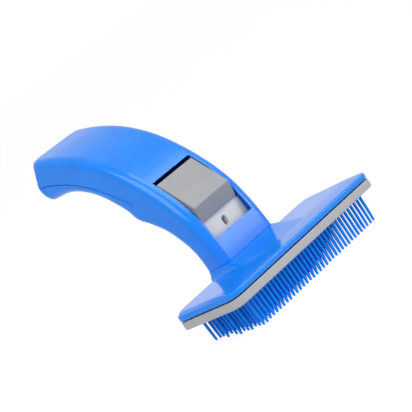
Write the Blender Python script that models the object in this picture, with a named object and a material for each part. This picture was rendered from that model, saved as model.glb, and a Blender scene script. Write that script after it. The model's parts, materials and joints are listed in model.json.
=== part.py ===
"""Self-cleaning slicker brush: a thumb button pushes a plate down over the bristles and strips off the hair.

Units are metres. The origin is the centre of the plane that the bristle tips lie in: +X runs along the head,
+Y towards the rear end of the handle and +Z up, away from the bristles.
"""
from math import cos, pi, sin, sqrt

import bmesh
import bpy
from mathutils import Matrix, Vector

# Clearances -------------------------------------------------------------------------------------------------
GAP = 0.0003                 # between pieces that seat on each other, and round screws and pins
SLIDE = 0.0006               # round whatever slides with the thumb button
OVERSHOOT = 0.0010           # how far a cutter runs past the face that it opens

# Bristles and the plate that strips them --------------------------------------------------------------------
PIN_PITCH_X = 0.0025         # along a row
PIN_PITCH_Y = 0.00405        # from row to row; every second row is shifted by half a pitch
PIN_END_MARGIN = 0.0083      # at least, from the ends of the head to the middle of the nearest pins
PIN_SIDE_MARGIN = 0.0052     # and from its long edges
PIN_ROOT_DIAMETER = 0.0016
PIN_TIP_DIAMETER = 0.0009
PIN_SIDES = 4
PIN_EXPOSED = 0.0134         # below the plate when the button is up
PLATE_THICKNESS = 0.0038
SEAM = 0.0006                # between the plate and the head

# Head -------------------------------------------------------------------------------------------------------
HEAD_LENGTH = 0.1020
HEAD_DEPTH = 0.0430
HEAD_CORNER = 0.0055
HEAD_WALL = 0.0018
RIM_HEIGHT = 0.0026
RIM_BEVEL = 0.0006
CROWN_RISE = 0.0008
CROWN_FRONT = 0.0150         # slope from the front edge of the rim back to the crown
CROWN_SIDE = 0.0030
BASE_THICKNESS = 0.0014
SADDLE_RISE = 0.0040         # of the collar above the rim
SADDLE_FLARE = 0.0033        # at each side, from the neck down to the crown
SADDLE_TOE = 0.0050          # from the front edge of the rim back to the toe of the saddle
SADDLE_HOLLOW = 1.35         # exponent of the saddle's front slope: 1 is a straight ramp
SADDLE_STEPS = 6
SADDLE_CORNER = 0.0045

# Neck and handle --------------------------------------------------------------------------------------------
NECK_INSET = 0.00135         # of the neck's middle in front of the head's rear edge
HANDLE_WIDTH = 0.0368
HANDLE_WALL = 0.0020
HANDLE_TOP_RADIUS = 0.0045
HANDLE_UNDER_RADIUS = 0.0050
# (y, z) from the middle of the neck's foot. Each point of the top is paired with the one across the handle.
HANDLE_TOP = [(-0.0071, 0.0), (-0.0073, 0.0050), (-0.0069, 0.0106), (-0.0060, 0.0168), (-0.0037, 0.0258),
              (0.0005, 0.0348), (0.0039, 0.0402), (0.0074, 0.0452), (0.0116, 0.0504), (0.0176, 0.0569),
              (0.0260, 0.0641), (0.0378, 0.0715), (0.0508, 0.0769), (0.0630, 0.0802), (0.0715, 0.0812),
              (0.0762, 0.0799), (0.0778, 0.0768)]
HANDLE_UNDER = [(0.0070, 0.0), (0.0069, 0.0048), (0.0075, 0.0103), (0.0098, 0.0164), (0.0145, 0.0240),
                (0.0212, 0.0300), (0.0270, 0.0344), (0.0296, 0.0399), (0.0334, 0.0450), (0.0382, 0.0503),
                (0.0445, 0.0550), (0.0530, 0.0589), (0.0610, 0.0604), (0.0685, 0.0607), (0.0733, 0.0610),
                (0.0766, 0.0634), (0.0776, 0.0666)]
END_TOP_BULGE = 0.0101       # of the rear end's arc seen from above, at its top edge
END_UNDER_BULGE = 0.0042     # and at its lower edge
END_LENGTH = 0.0140          # over which the end takes on those arcs
HOLLOW_SPANS = 14            # spans of the curves that the handle's hollow runs through
# Side view of the joint between the shell and the underside cover, from its front end to the rear
PARTING_LINE = [(0.0215, 0.0409), (0.0314, 0.0500), (0.0407, 0.0569), (0.0515, 0.0625), (0.0644, 0.0665),
                (0.0735, 0.0678), (0.0860, 0.0686)]
COVER_TOE = (0.0300, 0.0310)  # clear of the underside, in front of the cover's lower end

# Thumb slot, wedge and link, with levels above the foot of the neck -----------------------------------------
SLOT_SIDE = 0.0054           # from each side of the handle to the slot
SLOT_LOW = 0.0107
SLOT_HIGH = 0.0460
PUSH_TRAVEL = 0.0100         # the slot's lower end falls inwards, clear of the wedge's foot after this travel
APRON = 0.0032               # wall of the neck in front of the link
STRIP_THICKNESS = 0.0024
STRIP_HIGH = 0.0240
FLANGE_WIDTH = 0.0022        # of the link's guide flanges on each side of the wedge
FLANGE_LOW = 0.0060
FLANGE_HIGH = 0.0168
TONGUE_WIDTH = 0.0200
TONGUE_SETBACK = 0.0007      # of the tongue's face behind the strip's
TONGUE_THICKNESS = 0.0026
SHELF_DEPTH = 0.0046
SHELF_THICKNESS = 0.0016
SHELF_LOW = 0.0152
EYE_WIDTH = 0.0030
EYE_HEIGHT = 0.0048
EYE_LEVEL = 0.0139
RIB_THICKNESS = 0.0014       # of the ribs behind the link's flanges
RIB_WIDTH = 0.0032
RIB_LOW = 0.0020
RIB_HEIGHT = 0.0190
WEDGE_TOE = 0.0005           # thickness of the step's foot, in front of the strip
WEDGE_TOE_LEVEL = 0.0192
WEDGE_EDGE = (-0.0057, 0.0269)
WEDGE_REAR = (0.0063, 0.0437)
WEDGE_BACK = (0.0017, -0.0022)  # from the rear edge of the wedge's top down to its back
LEG_THICKNESS = 0.0020
LEG_LEVEL = 0.0196
LEG_ROOT_LEVEL = 0.0259
WEDGE_BEVEL = 0.0004         # along the upper and lower edges of the wedge's top

# Return springs ---------------------------------------------------------------------------------------------
SPRING_DIAMETER = 0.0038
SPRING_WIRE = 0.0005
SPRING_TURNS = 7
SPRING_SPACING = 0.0130
PEG_DIAMETER = 0.0020
PEG_HEIGHT = 0.0022
SEAT_DEPTH = 0.0013          # of the springs' seat below the collar
POCKET_WIDTH = 0.0210

# Screws -----------------------------------------------------------------------------------------------------
SCREW_HEAD = 0.0040
SCREW_HEAD_HEIGHT = 0.0014
SCREW_SHANK = 0.0020
FINE_SCREW_HEAD = 0.0026
FINE_SCREW_HEAD_HEIGHT = 0.0010
FINE_SCREW_SHANK = 0.0014
BOSS_DIAMETER = 0.0056
EAR_WIDTH = 0.0046
EAR_DEPTH = 0.0023
EAR_HEIGHT = 0.0084          # of the ears inside the neck
EAR_INSET = 0.0052           # from each side of the neck to the middle of its ear
NECK_SCREW_LEVEL = 0.0050
NECK_SCREW_LENGTH = 0.0040
NECK_SCREW_SINK = 0.0016
NECK_SCREW_SEAT = 0.0014     # wall between each head's seat and the ear
BUTTON_SCREW_INSET = 0.0044   # from each side of the wedge
BUTTON_SCREW_LEVEL = 0.0218
BUTTON_SCREW_LENGTH = 0.0042
PLATE_SCREW_LENGTH = 0.0080
PLATE_SCREW_PITCHES = 5      # pin pitches between the two, so that each head sits between two pins
PAD_SCREW_SPACING = 0.0300
PAD_SCREW_ROWS = 2           # rows behind the middle one
PAD_SCREW_LENGTH = 0.0042
PAD_SCREW_CONE = 0.0011
GRIP_SCREW_SPREAD = 0.0090
GRIP_SCREW_SINK = 0.0026     # of each head's seat from the underside
GRIP_SCREW_LENGTH = 0.0090
GRIP_SCREW_FRONT = 9         # point of the underside curve that the front screw stands on
GRIP_SCREW_REAR = 13

# Facets -----------------------------------------------------------------------------------------------------
CORNER_STEPS = 3
HEAD_CORNER_STEPS = 5
CURVE_STEPS = 2              # between two points of the handle's curves
ROUND_STEPS = 10
SPRING_STEPS = 8             # in each turn
WIRE_STEPS = 4

# Levels and places that follow ------------------------------------------------------------------------------
PIN_COLUMNS = 1 + int((HEAD_LENGTH - 2 * PIN_END_MARGIN) / PIN_PITCH_X)
PIN_ROWS = 1 + int((HEAD_DEPTH - 2 * PIN_SIDE_MARGIN) / PIN_PITCH_Y)
PLATE_LOW = PIN_EXPOSED
PLATE_HIGH = PLATE_LOW + PLATE_THICKNESS
RIM_LOW = PLATE_HIGH + SEAM
RIM_HIGH = RIM_LOW + RIM_HEIGHT
CROWN_HIGH = RIM_HIGH + CROWN_RISE
COLLAR_HIGH = RIM_HIGH + SADDLE_RISE
FOOT = COLLAR_HIGH + GAP
RECESS_HIGH = RIM_LOW + BASE_THICKNESS + GAP
BASE_LOW = RIM_LOW
BASE_HIGH = BASE_LOW + BASE_THICKNESS
HEAD_FRONT = -HEAD_DEPTH / 2
NECK_SETBACK = HEAD_DEPTH / 2 - NECK_INSET
NECK_HALF_WIDTH = HANDLE_WIDTH / 2
NECK_INNER_HALF = NECK_HALF_WIDTH - HANDLE_WALL
NECK_FRONT = NECK_SETBACK + HANDLE_TOP[0][0]
NECK_REAR = NECK_SETBACK + HANDLE_UNDER[0][0]
NECK_INNER_REAR = NECK_REAR - HANDLE_WALL
APRON_REAR = NECK_FRONT + APRON
STRIP_FRONT = APRON_REAR + SLIDE
STRIP_REAR = STRIP_FRONT + STRIP_THICKNESS
TONGUE_FRONT = STRIP_FRONT + TONGUE_SETBACK
TONGUE_REAR = TONGUE_FRONT + TONGUE_THICKNESS
SLOT_HALF_WIDTH = HANDLE_WIDTH / 2 - SLOT_SIDE
WEDGE_HALF_WIDTH = SLOT_HALF_WIDTH - SLIDE
BUTTON_SCREW_SPACING = 2 * (WEDGE_HALF_WIDTH - BUTTON_SCREW_INSET)
FLANGE_HALF_WIDTH = WEDGE_HALF_WIDTH + FLANGE_WIDTH
PASSAGE_HALF_WIDTH = FLANGE_HALF_WIDTH + SLIDE
PASSAGE_REAR = TONGUE_REAR + GAP
SEAT_LEVEL = COLLAR_HIGH - SEAT_DEPTH
SPRING_Y = PASSAGE_REAR + GAP + SPRING_DIAMETER / 2
LEG_FRONT = STRIP_REAR + GAP
LEG_REAR = LEG_FRONT + LEG_THICKNESS
EAR_REAR = NECK_REAR - NECK_SCREW_SINK - NECK_SCREW_SEAT - GAP
EAR_SPACING = HANDLE_WIDTH - 2 * EAR_INSET


# Materials --------------------------------------------------------------------------------------------------
def material(name, color, roughness, metallic=0.0):
    """The named material, made on its first use."""
    found = bpy.data.materials.get(name)
    if found:
        return found
    made = bpy.data.materials.new(name)
    made.use_nodes = True
    shader = made.node_tree.nodes["Principled BSDF"]
    shader.inputs["Base Color"].default_value = (*color, 1.0)
    shader.inputs["Roughness"].default_value = roughness
    shader.inputs["Metallic"].default_value = metallic
    return made


def blue_shell():
    return material("blue_shell", (0.02, 0.20, 1.0), 0.28)


def blue_bristle():
    return material("blue_bristle", (0.0, 0.09, 0.75), 0.40)


def grey_slider():
    return material("grey_slider", (0.42, 0.42, 0.44), 0.42)


def steel():
    return material("steel", (0.62, 0.63, 0.65), 0.30, 1.0)


# Solids -----------------------------------------------------------------------------------------------------
def new_object(name, solid, look):
    """Turns a bmesh into a named object with flat faces and sharp edges, and frees it."""
    mesh = bpy.data.meshes.new(name)
    bmesh.ops.recalc_face_normals(solid, faces=solid.faces)
    solid.to_mesh(mesh)
    solid.free()
    mesh.materials.append(look)
    made = bpy.data.objects.new(name, mesh)
    bpy.context.scene.collection.objects.link(made)
    return made


def shade_round(target):
    target.data.shade_smooth()
    target.data.set_sharp_from_angle(angle=0.6)


def loft(outlines, curved_end=False):
    """Closed solid through outlines that have equal numbers of points."""
    solid = bmesh.new()
    rings = [[solid.verts.new(point) for point in outline] for outline in outlines]
    for lower, upper in zip(rings, rings[1:]):
        for index in range(len(lower)):
            solid.faces.new((lower[index - 1], lower[index], upper[index], upper[index - 1]))
    solid.faces.new(list(reversed(rings[0])))
    if curved_end:
        close_from_middle(solid, rings[-1])
    else:
        solid.faces.new(rings[-1])
    return solid


def close_from_middle(solid, ring):
    """Closes an end that isn't flat with triangles, from a point between its flat edges above and below."""
    inner = sorted((vert.co for vert in ring), key=lambda place: abs(place.x))[:4]
    middle = solid.verts.new(sum(inner, Vector()) / len(inner))
    for index in range(len(ring)):
        solid.faces.new((ring[index - 1], ring[index], middle))


def rounded_rectangle(half_x, y_front, y_rear, radius, steps):
    """(x, y) outline, counter-clockwise from above, that starts at the front right corner."""
    corners = [(half_x - radius, y_front + radius, -pi / 2), (half_x - radius, y_rear - radius, 0.0),
               (radius - half_x, y_rear - radius, pi / 2), (radius - half_x, y_front + radius, pi)]
    outline = []
    for x, y, start in corners:
        for step in range(steps + 1):
            angle = start + pi / 2 * step / steps
            outline.append((x + radius * cos(angle), y + radius * sin(angle)))
    return outline


def head_outline(inset, z):
    """The head's plan outline, moved in by the inset."""
    half_y = HEAD_DEPTH / 2 - inset
    plan = rounded_rectangle(HEAD_LENGTH / 2 - inset, -half_y, half_y, HEAD_CORNER - inset, HEAD_CORNER_STEPS)
    return [Vector((x, y, z)) for x, y in plan]


def prism(profile, half_width):
    """Solid of a (y, z) profile, extruded to both sides along x."""
    return loft([[Vector((x, y, z)) for y, z in profile] for x in (-half_width, half_width)])


def block(low, high):
    """Box between two opposite corners."""
    solid = bmesh.new()
    size = [b - a for a, b in zip(low, high)]
    middle = [(a + b) / 2 for a, b in zip(low, high)]
    bmesh.ops.create_cube(solid, size=1.0, matrix=Matrix.Translation(middle) @ Matrix.Diagonal((*size, 1.0)))
    return solid


def rod(start, end, diameter, end_diameter=None, steps=ROUND_STEPS):
    """Round bar or cone from start to end."""
    start = Vector(start)
    end = Vector(end)
    solid = bmesh.new()
    turn = (end - start).to_track_quat("Z", "Y").to_matrix().to_4x4()
    place = Matrix.Translation((start + end) / 2) @ turn
    last = diameter if end_diameter is None else end_diameter
    bmesh.ops.create_cone(solid, cap_ends=True, segments=steps, radius1=diameter / 2, radius2=last / 2,
                          depth=(end - start).length, matrix=place)
    return solid


def change(target, solid, operation):
    """Applies a Boolean with the given solid to an object."""
    tool = new_object("tool", solid, target.data.materials[0])
    modifier = target.modifiers.new("change", "BOOLEAN")
    modifier.operation = operation
    modifier.solver = "EXACT"
    modifier.object = tool
    bpy.context.view_layer.update()
    before = target.data
    target.data = bpy.data.meshes.new_from_object(target.evaluated_get(bpy.context.evaluated_depsgraph_get()))
    target.modifiers.clear()
    name = before.name
    bpy.data.meshes.remove(before)
    target.data.name = name
    used = tool.data
    bpy.data.objects.remove(tool)
    bpy.data.meshes.remove(used)


def cut(target, solid):
    change(target, solid, "DIFFERENCE")


def join(target, solid):
    change(target, solid, "UNION")


def keep(target, solid):
    change(target, solid, "INTERSECT")


def mirrored(x):
    return (-x, x)


# Bristles and plate -----------------------------------------------------------------------------------------
def pad_screw_places():
    return [(x, PAD_SCREW_ROWS * PIN_PITCH_Y) for x in mirrored(PAD_SCREW_SPACING / 2)]


def plate_screw_places():
    y = (TONGUE_FRONT + TONGUE_REAR) / 2
    return [(x, y) for x in mirrored(PLATE_SCREW_PITCHES * PIN_PITCH_X / 2)]


def clear_of_pad_screws(x, y):
    reach = (SCREW_HEAD + PIN_ROOT_DIAMETER) / 2 + 2 * GAP
    return all((x - sx) ** 2 + (y - sy) ** 2 > reach ** 2 for sx, sy in pad_screw_places())


def pin_places():
    """Centres of the pins; every second row has one pin fewer and is shifted by half a pitch."""
    places = []
    for row in range(PIN_ROWS):
        count = PIN_COLUMNS - row % 2
        y = (row - (PIN_ROWS - 1) / 2) * PIN_PITCH_Y
        places += [((column - (count - 1) / 2) * PIN_PITCH_X, y) for column in range(count)]
    return [place for place in places if clear_of_pad_screws(*place)]


def pin_section(centre, diameter, z):
    """Regular outline that just encloses the round of the given diameter."""
    radius = diameter / 2 / cos(pi / PIN_SIDES)
    angles = [2 * pi * (side + 0.5) / PIN_SIDES for side in range(PIN_SIDES)]
    return [Vector((centre[0] + radius * cos(a), centre[1] + radius * sin(a), z)) for a in angles]


def closed_loop(solid, points):
    """Adds a loop of vertices and edges, and returns both."""
    verts = [solid.verts.new(point) for point in points]
    return verts, [solid.edges.new((verts[index - 1], verts[index])) for index in range(len(verts))]


def side_faces(solid, lower, upper):
    for index in range(len(lower)):
        solid.faces.new((lower[index - 1], lower[index], upper[index], upper[index - 1]))


def base_outline():
    """The pad's base: the head's recess less a gap, with a notch at the rear for the link's tongue."""
    outline = head_outline(HEAD_WALL + GAP, BASE_LOW)
    reach = TONGUE_WIDTH / 2 + GAP
    front = TONGUE_FRONT - GAP
    rear = outline[2 * HEAD_CORNER_STEPS + 1].y
    notch = [Vector((x, y, BASE_LOW)) for x, y in
             [(reach, rear), (reach, front), (-reach, front), (-reach, rear)]]
    rear_right_end = 2 * (HEAD_CORNER_STEPS + 1)
    return outline[:rear_right_end] + notch + outline[rear_right_end:]


def make_bristle_pad():
    """Base plate with all its pins as one moulding."""
    outline = base_outline()
    solid = bmesh.new()
    low, open_edges = closed_loop(solid, outline)
    high = [solid.verts.new(point + Vector((0.0, 0.0, BASE_THICKNESS))) for point in outline]
    side_faces(solid, low, high)
    solid.faces.new(high)
    for place in pin_places():
        root, root_edges = closed_loop(solid, pin_section(place, PIN_ROOT_DIAMETER, BASE_LOW))
        tip = [solid.verts.new(point) for point in pin_section(place, PIN_TIP_DIAMETER, 0.0)]
        side_faces(solid, tip, root)
        solid.faces.new(tip)
        open_edges += root_edges
    bmesh.ops.triangle_fill(solid, use_beauty=True, edges=open_edges)
    pad = new_object("bristle_pad", solid, blue_bristle())
    for x, y in pad_screw_places():
        foot = (x, y, BASE_LOW - OVERSHOOT)
        seat = (x, y, BASE_LOW + PAD_SCREW_CONE)
        spread = SCREW_HEAD + 2 * GAP
        slope = (SCREW_HEAD - SCREW_SHANK) / PAD_SCREW_CONE
        cut(pad, rod(foot, seat, spread + slope * OVERSHOOT, spread - slope * PAD_SCREW_CONE))
        cut(pad, rod(foot, (x, y, BASE_HIGH + OVERSHOOT), SCREW_SHANK + 2 * GAP))
    return pad


def make_pusher_plate():
    """Plate with a hole for each pin, and two sunk holes for the screws of the link."""
    solid = bmesh.new()
    low, low_edges = closed_loop(solid, head_outline(0.0, PLATE_LOW))
    high, high_edges = closed_loop(solid, head_outline(0.0, PLATE_HIGH))
    side_faces(solid, low, high)
    for place in pin_places():
        width = PIN_ROOT_DIAMETER + 2 * GAP
        lower, lower_edges = closed_loop(solid, pin_section(place, width, PLATE_LOW))
        upper, upper_edges = closed_loop(solid, pin_section(place, width, PLATE_HIGH))
        side_faces(solid, lower, upper)
        low_edges += lower_edges
        high_edges += upper_edges
    bmesh.ops.triangle_fill(solid, use_beauty=True, edges=low_edges)
    bmesh.ops.triangle_fill(solid, use_beauty=True, edges=high_edges)
    plate = new_object("pusher_plate", solid, grey_slider())
    for x, y in plate_screw_places():
        under = PLATE_LOW - OVERSHOOT
        cut(plate, rod((x, y, under), (x, y, PLATE_HIGH + OVERSHOOT), FINE_SCREW_SHANK + GAP))
        seat = PLATE_LOW + FINE_SCREW_HEAD_HEIGHT + GAP
        cut(plate, rod((x, y, under), (x, y, seat), FINE_SCREW_HEAD + GAP))
    return plate


# Head housing -----------------------------------------------------------------------------------------------
def saddle():
    """Hollowed ramp in front of the neck, flaring at the sides, up to the collar that the neck stands on."""
    rings = []
    toe = HEAD_FRONT + SADDLE_TOE
    for step in range(SADDLE_STEPS + 1):
        rise = step / SADDLE_STEPS
        half_x = NECK_HALF_WIDTH + SADDLE_FLARE * (1 - rise) ** 2
        y_front = NECK_FRONT - (NECK_FRONT - toe) * (1 - rise) ** SADDLE_HOLLOW
        y_rear = NECK_REAR - (NECK_REAR - HEAD_DEPTH / 2 - GAP) * (1 - rise) ** 2
        plan = rounded_rectangle(half_x, y_front, y_rear, SADDLE_CORNER, CORNER_STEPS)
        z = RIM_HIGH + SADDLE_RISE * rise
        rings.append([Vector((x, y, z)) for x, y in plan])
    sunk = [Vector((point.x, min(point.y, HEAD_DEPTH / 2 - RIM_BEVEL), RIM_LOW + RIM_BEVEL))
            for point in rings[0]]
    return loft([sunk] + rings)


def make_head_housing():
    """Rim, low crown and saddle, open below, with the link's passage, spring seats and the neck's ears."""
    crown = head_outline(RIM_BEVEL, CROWN_HIGH)
    for point in crown:
        point.x -= CROWN_SIDE if point.x > 0 else -CROWN_SIDE
        point.y += (CROWN_FRONT - RIM_BEVEL) * (1 - (point.y - HEAD_FRONT) / HEAD_DEPTH)
    rim = [head_outline(0.0, RIM_LOW), head_outline(0.0, RIM_HIGH - RIM_BEVEL)]
    rim.append(head_outline(RIM_BEVEL, RIM_HIGH))
    head = new_object("head_housing", loft(rim + [crown]), blue_shell())
    join(head, saddle())
    cut(head, loft([head_outline(HEAD_WALL, RIM_LOW - OVERSHOOT), head_outline(HEAD_WALL, RECESS_HIGH)]))
    over = COLLAR_HIGH + OVERSHOOT
    cut(head, block((-PASSAGE_HALF_WIDTH, APRON_REAR, RIM_LOW - OVERSHOOT),
                    (PASSAGE_HALF_WIDTH, PASSAGE_REAR, over)))
    cut(head, block((-POCKET_WIDTH / 2, PASSAGE_REAR - OVERSHOOT, SEAT_LEVEL),
                    (POCKET_WIDTH / 2, NECK_INNER_REAR - GAP, over)))
    for x in mirrored(SPRING_SPACING / 2):
        join(head, rod((x, SPRING_Y, SEAT_LEVEL - OVERSHOOT), (x, SPRING_Y, SEAT_LEVEL + PEG_HEIGHT),
                       PEG_DIAMETER, steps=8))
    for x in mirrored(EAR_SPACING / 2):
        join(head, block((x - EAR_WIDTH / 2, EAR_REAR - EAR_DEPTH, COLLAR_HIGH - OVERSHOOT),
                         (x + EAR_WIDTH / 2, EAR_REAR, COLLAR_HIGH + EAR_HEIGHT)))
        level = FOOT + NECK_SCREW_LEVEL
        cut(head, rod((x, EAR_REAR - EAR_DEPTH - OVERSHOOT, level), (x, NECK_REAR, level),
                      SCREW_SHANK + 2 * GAP))
    for x, y in pad_screw_places():
        cut(head, rod((x, y, RIM_LOW), (x, y, BASE_LOW + PAD_SCREW_LENGTH + GAP), SCREW_SHANK + 2 * GAP))
    return head


# Handle -----------------------------------------------------------------------------------------------------
def spline(points):
    """Catmull-Rom curve through the points, CURVE_STEPS pieces to each span."""
    points = [Vector(point) for point in points]
    curve = []
    for index in range(len(points) - 1):
        a = points[max(index - 1, 0)]
        b = points[index]
        c = points[index + 1]
        d = points[min(index + 2, len(points) - 1)]
        for step in range(CURVE_STEPS):
            t = step / CURVE_STEPS
            curve.append(b + ((c - a) * t + (2 * a - 5 * b + 4 * c - d) * t ** 2
                              + (3 * b - a - 3 * c + d) * t ** 3) / 2)
    return curve + [points[-1]]


def in_place(point):
    """(y, z) of a point of the handle's curves in the brush's own frame."""
    return point[0] + NECK_SETBACK, point[1] + FOOT


def handle_section(inset, height):
    """(x, height) outline of one cross-section, with its own radii on top and below."""
    half_x = HANDLE_WIDTH / 2 - inset
    under = HANDLE_UNDER_RADIUS - inset
    top = HANDLE_TOP_RADIUS - inset
    corners = [(half_x - under, under, under, -pi / 2), (half_x - top, height - top, top, 0.0),
               (top - half_x, height - top, top, pi / 2), (under - half_x, under, under, pi)]
    outline = []
    for x, up, radius, start in corners:
        for step in range(CORNER_STEPS + 1):
            angle = start + pi / 2 * step / CORNER_STEPS
            outline.append((x + radius * cos(angle), up + radius * sin(angle)))
    return outline


def end_rounding(x, y, height):
    """Moves the rear end forward away from its middle, on an arc that opens from the top (height 1) down."""
    share = min(max((y - HANDLE_TOP[-1][0] + END_LENGTH) / END_LENGTH, 0.0), 1.0)
    bulge = END_UNDER_BULGE + (END_TOP_BULGE - END_UNDER_BULGE) * height
    radius = (HANDLE_WIDTH ** 2 / 4 + bulge ** 2) / (2 * bulge)
    return y - share * (radius - sqrt(radius ** 2 - x ** 2))


def handle_outlines(inset):
    """Cross-sections along the handle, every face moved in by the inset."""
    outlines = []
    for top, under in zip(spline(HANDLE_TOP), spline(HANDLE_UNDER)):
        depth = (top - under).length - 2 * inset
        across = (top - under).normalized()
        low = under + across * inset
        outline = []
        for x, up in handle_section(inset, depth):
            point = low + across * up
            outline.append(Vector((x, *in_place((end_rounding(x, point.x, up / depth), point.y)))))
        outlines.append(outline)
    return outlines


def handle_core():
    """Hollow of the handle, open at the foot, less the ribs and bosses that stand in it."""
    outlines = handle_outlines(HANDLE_WALL)[:HOLLOW_SPANS * CURVE_STEPS + 1]
    middle = sum((point for point in outlines[-1]), Vector()) / len(outlines[-1])
    last = []
    for point in outlines[-1]:
        x = point.x - (HANDLE_WALL if point.x > 0 else -HANDLE_WALL)
        z = point.z - (HANDLE_WALL if point.z > middle.z else -HANDLE_WALL)
        last.append(Vector((x, point.y + HANDLE_WALL / 2, z)))
    outlines.append(last)
    for outline in outlines:
        for point in outline:
            point.y = max(point.y, APRON_REAR)
    below = [point - Vector((0.0, 0.0, OVERSHOOT)) for point in outlines[0]]
    core = new_object("core", loft([below] + outlines, True), blue_shell())
    for x in mirrored(NECK_INNER_HALF):
        inner = x - RIB_WIDTH if x > 0 else x + RIB_WIDTH
        outer = x + OVERSHOOT if x > 0 else x - OVERSHOOT
        y = STRIP_REAR + SLIDE
        cut(core, block((min(inner, outer), y, FOOT + RIB_LOW),
                        (max(inner, outer), y + RIB_THICKNESS, FOOT + RIB_LOW + RIB_HEIGHT)))
    for x in mirrored(EAR_SPACING / 2):
        level = FOOT + NECK_SCREW_LEVEL
        cut(core, rod((x, EAR_REAR + GAP, level), (x, NECK_REAR, level), BOSS_DIAMETER))
    for seat, inward in grip_screw_places():
        cut(core, rod(seat - inward * HANDLE_WIDTH, seat + inward * HANDLE_WIDTH, BOSS_DIAMETER))
    return core


def solid_of(source):
    solid = bmesh.new()
    solid.from_mesh(source.data)
    return solid


def under_normal(index):
    """Unit vector into the handle at a point of the underside curve."""
    before = Vector(HANDLE_UNDER[index - 1])
    after = Vector(HANDLE_UNDER[index + 1])
    along = (after - before).normalized()
    return Vector((0.0, -along.y, along.x))


def grip_screw_places():
    """Seat and inward direction of the three screws that hold the underside cover."""
    places = []
    for x, index in [(0.0, GRIP_SCREW_FRONT), (-GRIP_SCREW_SPREAD, GRIP_SCREW_REAR),
                     (GRIP_SCREW_SPREAD, GRIP_SCREW_REAR)]:
        inward = under_normal(index)
        y, z = in_place(HANDLE_UNDER[index])
        places.append((Vector((x, y, z)) + inward * GRIP_SCREW_SINK, inward))
    return places


def drill_grip_screws(target):
    for seat, inward in grip_screw_places():
        cut(target, rod(seat, seat - inward * BOSS_DIAMETER, SCREW_HEAD + 2 * GAP))
        cut(target, rod(seat - inward * OVERSHOOT, seat + inward * (GRIP_SCREW_LENGTH + GAP),
                        SCREW_SHANK + 2 * GAP))


def cover_profile(shift):
    """(y, z) outline of the room under the parting line; the shift leaves a gap along it."""
    line = [COVER_TOE] + [tuple(point) for point in spline(PARTING_LINE)]
    last = PARTING_LINE[-1][0]
    profile = line + [(last, COVER_TOE[1])]
    return [in_place((y + shift, z - shift)) for y, z in profile]


def top_normals():
    """Points of the handle's top curve between the slot's ends, each with its inward direction."""
    curve = spline(HANDLE_TOP)
    result = []
    for before, after in zip(curve, curve[1:]):
        along = (after - before).normalized()
        inward = Vector((along.y, -along.x))
        for level in (SLOT_LOW, SLOT_HIGH):
            if before.y <= level < after.y:
                result.append((before.lerp(after, (level - before.y) / (after.y - before.y)), inward))
        if SLOT_LOW < after.y < SLOT_HIGH:
            result.append((after, inward))
    return sorted(result, key=lambda item: item[0].y)


def slot_profile():
    """(y, z) outline of the thumb slot, through the front wall only."""
    edge = top_normals()
    outside = [in_place(point - inward * OVERSHOOT) for point, inward in edge]
    inside = [in_place(point + inward * (HANDLE_WALL + OVERSHOOT)) for point, inward in edge]
    inside = [(max(y, APRON_REAR + OVERSHOOT), z) for y, z in inside]
    mouth = in_place(edge[0][0])
    level = FOOT + WEDGE_TOE_LEVEL - PUSH_TRAVEL - SLIDE
    sill = [(mouth[0] + GAP, mouth[1]), (STRIP_FRONT - GAP - WEDGE_TOE - GAP, level),
            (APRON_REAR + OVERSHOOT, level)]
    return outside[::-1] + [(outside[0][0], mouth[1])] + sill + inside[1:]


def make_handle():
    """Shell and underside cover, both from the same outer form and the same hollow."""
    core = handle_core()
    shell = new_object("handle_shell", loft(handle_outlines(0.0), True), blue_shell())
    cover = new_object("grip_cover", loft(handle_outlines(0.0), True), blue_shell())
    cut(shell, solid_of(core))
    cut(shell, prism(cover_profile(0.0), HANDLE_WIDTH))
    cut(shell, prism(slot_profile(), SLOT_HALF_WIDTH))
    keep(cover, prism(cover_profile(GAP), HANDLE_WIDTH))
    cut(cover, solid_of(core))
    for piece in (shell, cover):
        drill_grip_screws(piece)
    for x in mirrored(EAR_SPACING / 2):
        level = FOOT + NECK_SCREW_LEVEL
        seat = NECK_REAR - NECK_SCREW_SINK
        cut(shell, rod((x, seat, level), (x, NECK_REAR + OVERSHOOT, level), SCREW_HEAD + 2 * GAP))
        cut(shell, rod((x, EAR_REAR, level), (x, NECK_REAR, level), SCREW_SHANK + 2 * GAP))
    hollow = core.data
    bpy.data.objects.remove(core)
    bpy.data.meshes.remove(hollow)
    shade_round(shell)
    shade_round(cover)


# Thumb button, link and springs -----------------------------------------------------------------------------
def bevelled(profile, corners, size):
    """The profile with the given corners cut off."""
    result = []
    for index, point in enumerate(profile):
        if index not in corners:
            result.append(point)
            continue
        for other in (profile[index - 1], profile[(index + 1) % len(profile)]):
            along = (Vector(other) - Vector(point)).normalized()
            result.append(tuple(Vector(point) + along * size))
    return result


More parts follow.
